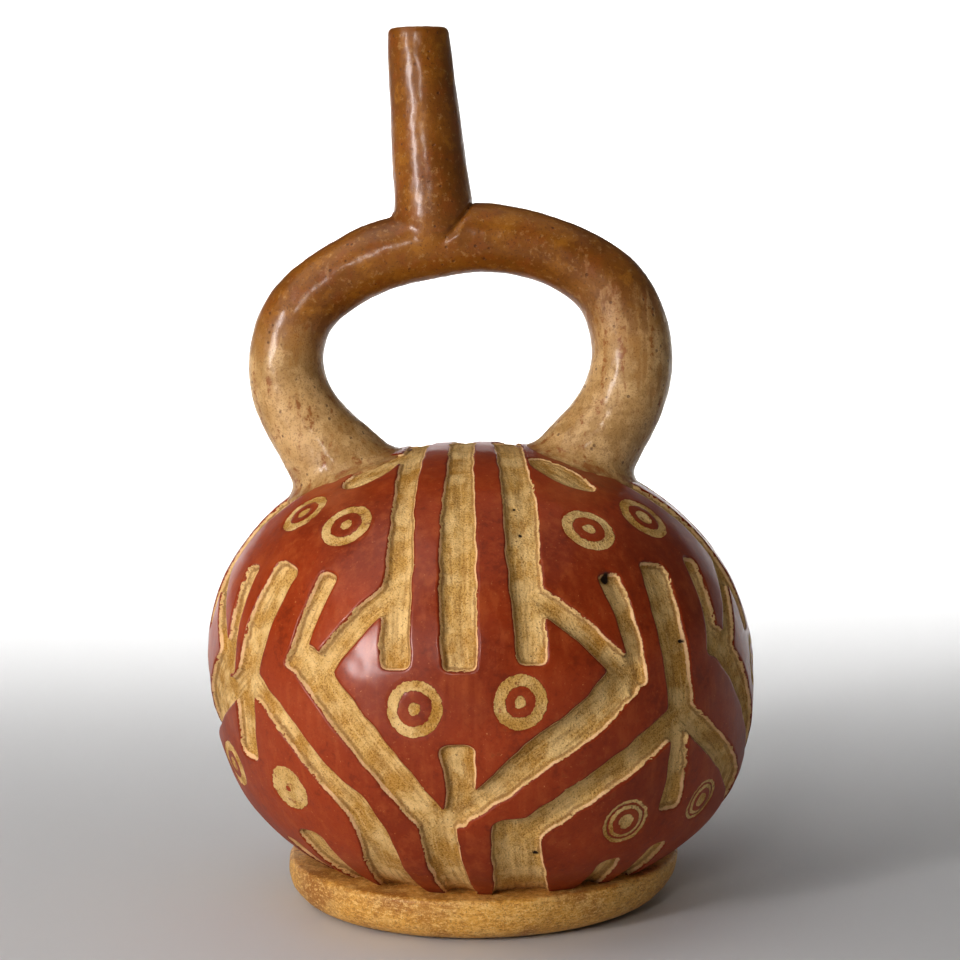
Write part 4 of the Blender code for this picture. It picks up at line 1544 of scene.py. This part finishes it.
def surface_net(distance: Callable, low: np.ndarray, high: np.ndarray,
                step: float) -> tuple[np.ndarray, np.ndarray]:
    """Closed mesh of quads round the places where a distance is negative.

    Args:
        distance: Function of x, y and z.
        low: Lowest corner of the searched box.
        high: Highest corner.
        step: Size of a cell.

    Returns:
        Points and quads.
    """
    counts = np.ceil((high - low) / step).astype(int) + 1
    axes = [low[k] + step * np.arange(counts[k]) for k in range(3)]
    x, y, z = np.meshgrid(*axes, indexing="ij")
    values = distance(x, y, z)
    inside = values < 0
    cells = tuple(c - 1 for c in counts)
    total = np.zeros((*cells, 3))
    hits = np.zeros(cells)
    corners = np.stack([x, y, z], axis=-1)

    def part(shift: tuple[int, ...]) -> tuple[slice, ...]:
        """Slices of the grid at one corner of every cell."""
        return tuple(slice(shift[k], shift[k] + cells[k]) for k in range(3))

    for axis in range(3):
        others = [k for k in range(3) if k != axis]
        for a in (0, 1):
            for b in (0, 1):
                start = [0, 0, 0]
                start[others[0]], start[others[1]] = a, b
                end = list(start)
                end[axis] = 1
                v0, v1 = values[part(tuple(start))], values[part(tuple(end))]
                cross = (v0 < 0) != (v1 < 0)
                share = np.where(cross, v0 / np.where(cross, v0 - v1, 1), 0)
                p0, p1 = corners[part(tuple(start))], corners[part(tuple(end))]
                total += np.where(cross[..., None], p0 + (p1 - p0) * share[..., None], 0)
                hits += cross
    used = hits > 0
    number = np.full(cells, -1)
    number[used] = np.arange(used.sum())
    points = total[used] / hits[used][:, None]
    quads = []
    for axis in range(3):
        others = [k for k in range(3) if k != axis]
        here = tuple(slice(1 if k != axis else 0, counts[k] - 1) for k in range(3))
        ahead = tuple(slice(here[k].start + (k == axis), here[k].stop + (k == axis))
                      for k in range(3))
        first, second = inside[here], inside[ahead]
        places = np.argwhere(first != second)
        leaving = first[tuple(places.T)]
        base = places + np.array([here[k].start for k in range(3)])
        ring = []
        for a, b in ((-1, -1), (0, -1), (0, 0), (-1, 0)):
            cell = base.copy()
            cell[:, others[0]] += a
            cell[:, others[1]] += b
            ring.append(number[tuple(cell.T)])
        ring = np.stack(ring, axis=1)
        flip = leaving if axis != 1 else ~leaving
        quads.append(np.where(flip[:, None], ring, ring[:, ::-1]))
    for _ in range(SETTLE_ROUNDS):
        value = distance(*points.T)
        slope = np.stack([(distance(*(points + shift).T) - value) / SETTLE_PROBE
                          for shift in np.eye(3) * SETTLE_PROBE], axis=1)
        size = np.maximum((slope ** 2).sum(axis=1), LEAST_SLOPE)
        move = -slope * (value / size)[:, None]
        points = points + np.clip(move, -step / 2, step / 2)
    return points, np.vstack(quads)


@dataclass(frozen=True)
class FootClay:
    """Finish of the foot: grainy ochre clay with pale and dark specks."""

    clay: Tone = (218, 164, 74)
    clay_pale: Tone = (242, 206, 134)
    clay_brown: Tone = (170, 112, 38)
    dirt: Tone = (104, 62, 22)

    def material(self) -> bpy.types.Material:
        """Build the material.

        Returns:
            The finished material.
        """
        paint = Paint("ochre clay of the foot")
        broad = paint.noise(16.0, 3.0)
        patches = paint.noise(4.0, 4.0, (0.5, 0.5, 1.6), rough=0.6)
        fine = paint.noise(1.0, 3.0, (0.55, 0.55, 1.3), rough=0.75)
        grain = paint.noise(0.45, 2.0)
        colour = paint.mix(broad.rise(0.3, 0.55), self.clay_brown, self.clay)
        colour = paint.layers(
            colour,
            (patches.rise(0.46, 0.74) * 0.45, self.clay_pale),
            (fine.rise(0.52, 0.62) * 0.6, self.clay_pale),
            (fine.rise(0.48, 0.38) * 0.65, self.clay_brown),
            (grain.rise(0.58, 0.68) * 0.5, self.dirt),
            (grain.rise(0.42, 0.32) * 0.5, self.clay_pale),
        )
        height = fine * 0.6 + grain * 0.8
        return paint.finish({
            "Base Color": colour,
            "Roughness": paint.between(fine, 0.45, 0.75),
            "Coat Weight": 0.14,
            "Coat Roughness": 0.3,
            "Normal": paint.bump(height, 0.22),
        })


@dataclass
class Foot:
    """The round foot with its rolled edge, standing ring and shallow recess."""

    height: float = 12.5
    radius: float = 54.4
    top_rounding: float = 1.3
    roll_reach: float = 1.15
    roll_squareness: float = 2.5
    skew: float = 1.3
    ring: float = 4.3
    recess_depth: float = 3.0
    recess_slope: float = 1.5
    hidden_rings: tuple[float, ...] = (14.0, 8.0)  # mm in from the edge, under the body
    sides: int = 320
    ripples: tuple[Ripple, ...] = (Ripple(0.22, 24.0, 11), Ripple(0.08, 7.0, 12))

    def profile(self) -> np.ndarray:
        """Radius and height of the foot's turned outline, from its hidden top down and in.

        Returns:
            One radius and height for each point of the outline.
        """
        roll = self.height - self.top_rounding
        top = np.linspace(0, math.pi / 2, 6)
        side = np.linspace(0, math.pi / 2, 22)
        outline = [(0.0, self.height)]
        outline += [(self.radius - inset, self.height) for inset in self.hidden_rings]
        outline += [(self.radius - self.top_rounding * (1 - math.sin(a)),
                     self.height - self.top_rounding * (1 - math.cos(a))) for a in top]
        power = 2 / self.roll_squareness
        outline += [(self.radius - roll * self.roll_reach * (1 - math.cos(a) ** power),
                     roll * (1 - math.sin(a) ** power)) for a in side[1:]]
        inner = self.radius - roll * self.roll_reach - self.ring
        outline += [(inner, 0.0), (inner - self.recess_slope * 0.4, 0.5),
                    (inner - self.recess_slope, self.recess_depth)]
        outline += [(inner * share, self.recess_depth) for share in (0.8, 0.4)]
        outline.append((0.0, self.recess_depth))
        return np.array(outline)

    def build(self) -> bpy.types.Object:
        """Build and dress the foot.

        Returns:
            The finished piece.
        """
        profile = self.profile()
        turn = np.arange(self.sides) * 2 * math.pi / self.sides
        rings = []
        for radius, height in profile[1:-1]:
            rings.append(np.column_stack([radius * np.cos(turn), radius * np.sin(turn),
                                          np.full(self.sides, height)]))
        points = np.vstack([[[0, 0, profile[0, 1]]], *rings, [[0, 0, profile[-1, 1]]]])
        reach = np.hypot(points[:, 0], points[:, 1])
        free = smooth_step(points[:, 2], 0.2, 3.0) * (reach > self.radius * 0.6)
        out = points[:, :2] / np.maximum(reach, 1e-6)[:, None]
        points[:, :2] += out * (uneven(points, self.ripples) * free)[:, None]
        points[:, 0] += self.skew * (points[:, 2] / self.height - 1)
        count = self.sides
        quads = []
        for row in range(len(rings) - 1):
            here = 1 + row * count + np.arange(count)
            ahead = 1 + row * count + (np.arange(count) + 1) % count
            quads.append(np.stack([here, here + count, ahead + count, ahead], axis=1))
        faces = np.vstack(quads)
        faces = np.vstack([faces[:, [0, 1, 2]], faces[:, [0, 2, 3]]])
        last = len(points) - 1
        first_ring = 1 + np.arange(count)
        last_ring = 1 + (len(rings) - 1) * count + np.arange(count)
        top = np.stack([np.zeros(count, dtype=int), first_ring, np.roll(first_ring, -1)], axis=1)
        bottom = np.stack([np.full(count, last), np.roll(last_ring, -1), last_ring], axis=1)
        faces = np.vstack([faces, top, bottom])
        return make_piece("bottle_foot", points, faces, {}, FootClay().material())


@dataclass(frozen=True)
class Softbox:
    """A soft light: degrees round and up from its aim, distance and size in mm, and power."""

    name: str
    turn: float
    lift: float
    distance: float
    width: float
    height: float
    power: float
    colour: Tone = (1.0, 1.0, 1.0)
    spread: float = 180.0

    def hang(self, aim: Vector) -> None:
        """Hang the light so that it looks at a point.

        Args:
            aim: The point, in mm.
        """
        turn, lift = math.radians(self.turn), math.radians(self.lift)
        flat = math.cos(lift)
        way = Vector((flat * math.sin(turn), -flat * math.cos(turn), math.sin(lift)))
        data = bpy.data.lights.new(self.name, "AREA")
        data.shape = "RECTANGLE"
        data.size = self.width * MM
        data.size_y = self.height * MM
        data.energy = self.power
        data.color = self.colour
        data.spread = math.radians(self.spread)
        lamp = bpy.data.objects.new(self.name, data)
        bpy.context.collection.objects.link(lamp)
        lamp.location = (aim + way * self.distance) * MM
        lamp.rotation_mode = "QUATERNION"
        lamp.rotation_quaternion = way.to_track_quat("Z", "Y")


@dataclass
class Studio:
    """Camera at the photo's viewpoint, a pale floor that sweeps up, and light from the left."""

    lens: float = 80.36
    sensor: float = 36.0
    eye: Vector = Vector((-0.4, -593.0, 172.1))
    pitch: float = 0.0939
    yaw: float = -0.0013
    roll: float = 0.0132
    aim: Vector = Vector((0.0, 0.0, 95.0))
    sweep_aim: Vector = Vector((0.0, 900.0, 150.0))
    softboxes: tuple[Softbox, ...] = (
        Softbox("window", -44.0, 13.0, 900.0, 120.0, 320.0, 4.7, (1.0, 0.98, 1.0)),
        Softbox("broad light", -60.0, 54.0, 1000.0, 800.0, 800.0, 2.9, (1.0, 0.97, 0.94)),
        Softbox("ceiling", 0.0, 86.0, 1100.0, 1200.0, 1200.0, 1.6),
        Softbox("front lamp", -12.0, 21.0, 900.0, 130.0, 80.0, 1.3, (1.0, 0.98, 0.98)),
    )
    sweep_light: Softbox = Softbox("sweep light", 0.0, 70.0, 1100.0, 1600.0, 500.0, 12.0,
                                   spread=80.0)
    horizon: float = 0.3  # strength of the world's light from eye level and below
    room: float = 0.07  # and from above
    horizon_fade: tuple[float, float] = (0.05, 0.22)
    gamma: float = 0.87
    floor_half: float = 1300.0
    floor_back: float = 300.0  # where the sweep begins
    floor_bend: float = 1200.0
    floor_top: float = 480.0
    floor_tone: tuple[float, float, float, float] = (0.66, 0.66, 0.66, 1.0)

    def build(self) -> None:
        """Set up the camera, the floor and the lights."""
        self.camera()
        self.floor()
        for softbox in self.softboxes:
            softbox.hang(self.aim)
        self.sweep_light.hang(self.sweep_aim)
        self.room_light()
        bpy.context.scene.view_settings.view_transform = "Standard"
        bpy.context.scene.view_settings.gamma = self.gamma

    def room_light(self) -> None:
        """Light the world faintly, and least from above."""
        world = bpy.data.worlds.new("pale room")
        world.use_nodes = True
        board = Board(world.node_tree)
        way = board.add("ShaderNodeTexCoord", {}, {}, "Generated")
        height = board.add("ShaderNodeSeparateXYZ", {}, {0: way}, "Z")
        low, high = self.horizon_fade
        strength = board.add("ShaderNodeMapRange", {"interpolation_type": "SMOOTHSTEP"},
                             {"Value": height, "From Min": low, "From Max": high,
                              "To Min": self.horizon, "To Max": self.room})
        board.fill(board.nodes["Background"],
                   {"Strength": strength, "Color": (1.0, 1.0, 1.0, 1.0)})
        bpy.context.scene.world = world

    def camera(self) -> None:
        """Set the camera at the viewpoint fitted to the photo."""
        turn = Matrix.Rotation(self.yaw, 3, "Z") @ Matrix.Rotation(-self.pitch, 3, "X")
        ahead = turn @ Vector((0, 1, 0))
        right = turn @ Vector((1, 0, 0))
        down = turn @ Vector((0, 0, -1))
        tilted_right = right * math.cos(self.roll) + down * math.sin(self.roll)
        tilted_down = down * math.cos(self.roll) - right * math.sin(self.roll)
        data = bpy.data.cameras.new("camera")
        data.lens = self.lens
        data.sensor_width = self.sensor
        data.clip_start = 10 * MM
        data.clip_end = 20000 * MM
        camera = bpy.data.objects.new("camera", data)
        bpy.context.collection.objects.link(camera)
        axes = Matrix((tilted_right, -tilted_down, -ahead)).transposed()
        camera.matrix_world = Matrix.Translation(self.eye * MM) @ axes.to_4x4()
        bpy.context.scene.camera = camera

    def floor(self) -> None:
        """Lay a wide pale floor that sweeps up behind the bottle."""
        half, bend = self.floor_half, self.floor_bend
        profile = [(-half, 0.0), (self.floor_back, 0.0)]
        profile += [(self.floor_back + bend * math.sin(a), bend * (1 - math.cos(a)))
                    for a in np.linspace(0, math.acos(1 - self.floor_top / bend), 24)[1:]]
        points = [(side * half * MM, y * MM, z * MM) for y, z in profile for side in (-1, 1)]
        faces = [(2 * k, 2 * k + 1, 2 * k + 3, 2 * k + 2) for k in range(len(profile) - 1)]
        mesh = bpy.data.meshes.new("floor")
        mesh.from_pydata(points, [], faces)
        mesh.shade_smooth()
        paint = Paint("pale floor")
        mesh.materials.append(paint.finish({"Base Color": self.floor_tone, "Roughness": 0.7}))
        floor = bpy.data.objects.new("floor", mesh)
        bpy.context.collection.objects.link(floor)


def main() -> None:
    """Build the bottle's pieces in order and report each."""
    logging.basicConfig(level=logging.INFO, format="%(message)s")
    Studio().build()
    body = CarvedBody()
    for piece in (body.build(), StirrupAndSpout(body).build(), Foot().build()):
        log.info("%s: %d faces", piece.name, len(piece.data.polygons))


if __name__ == "__main__":
    main()
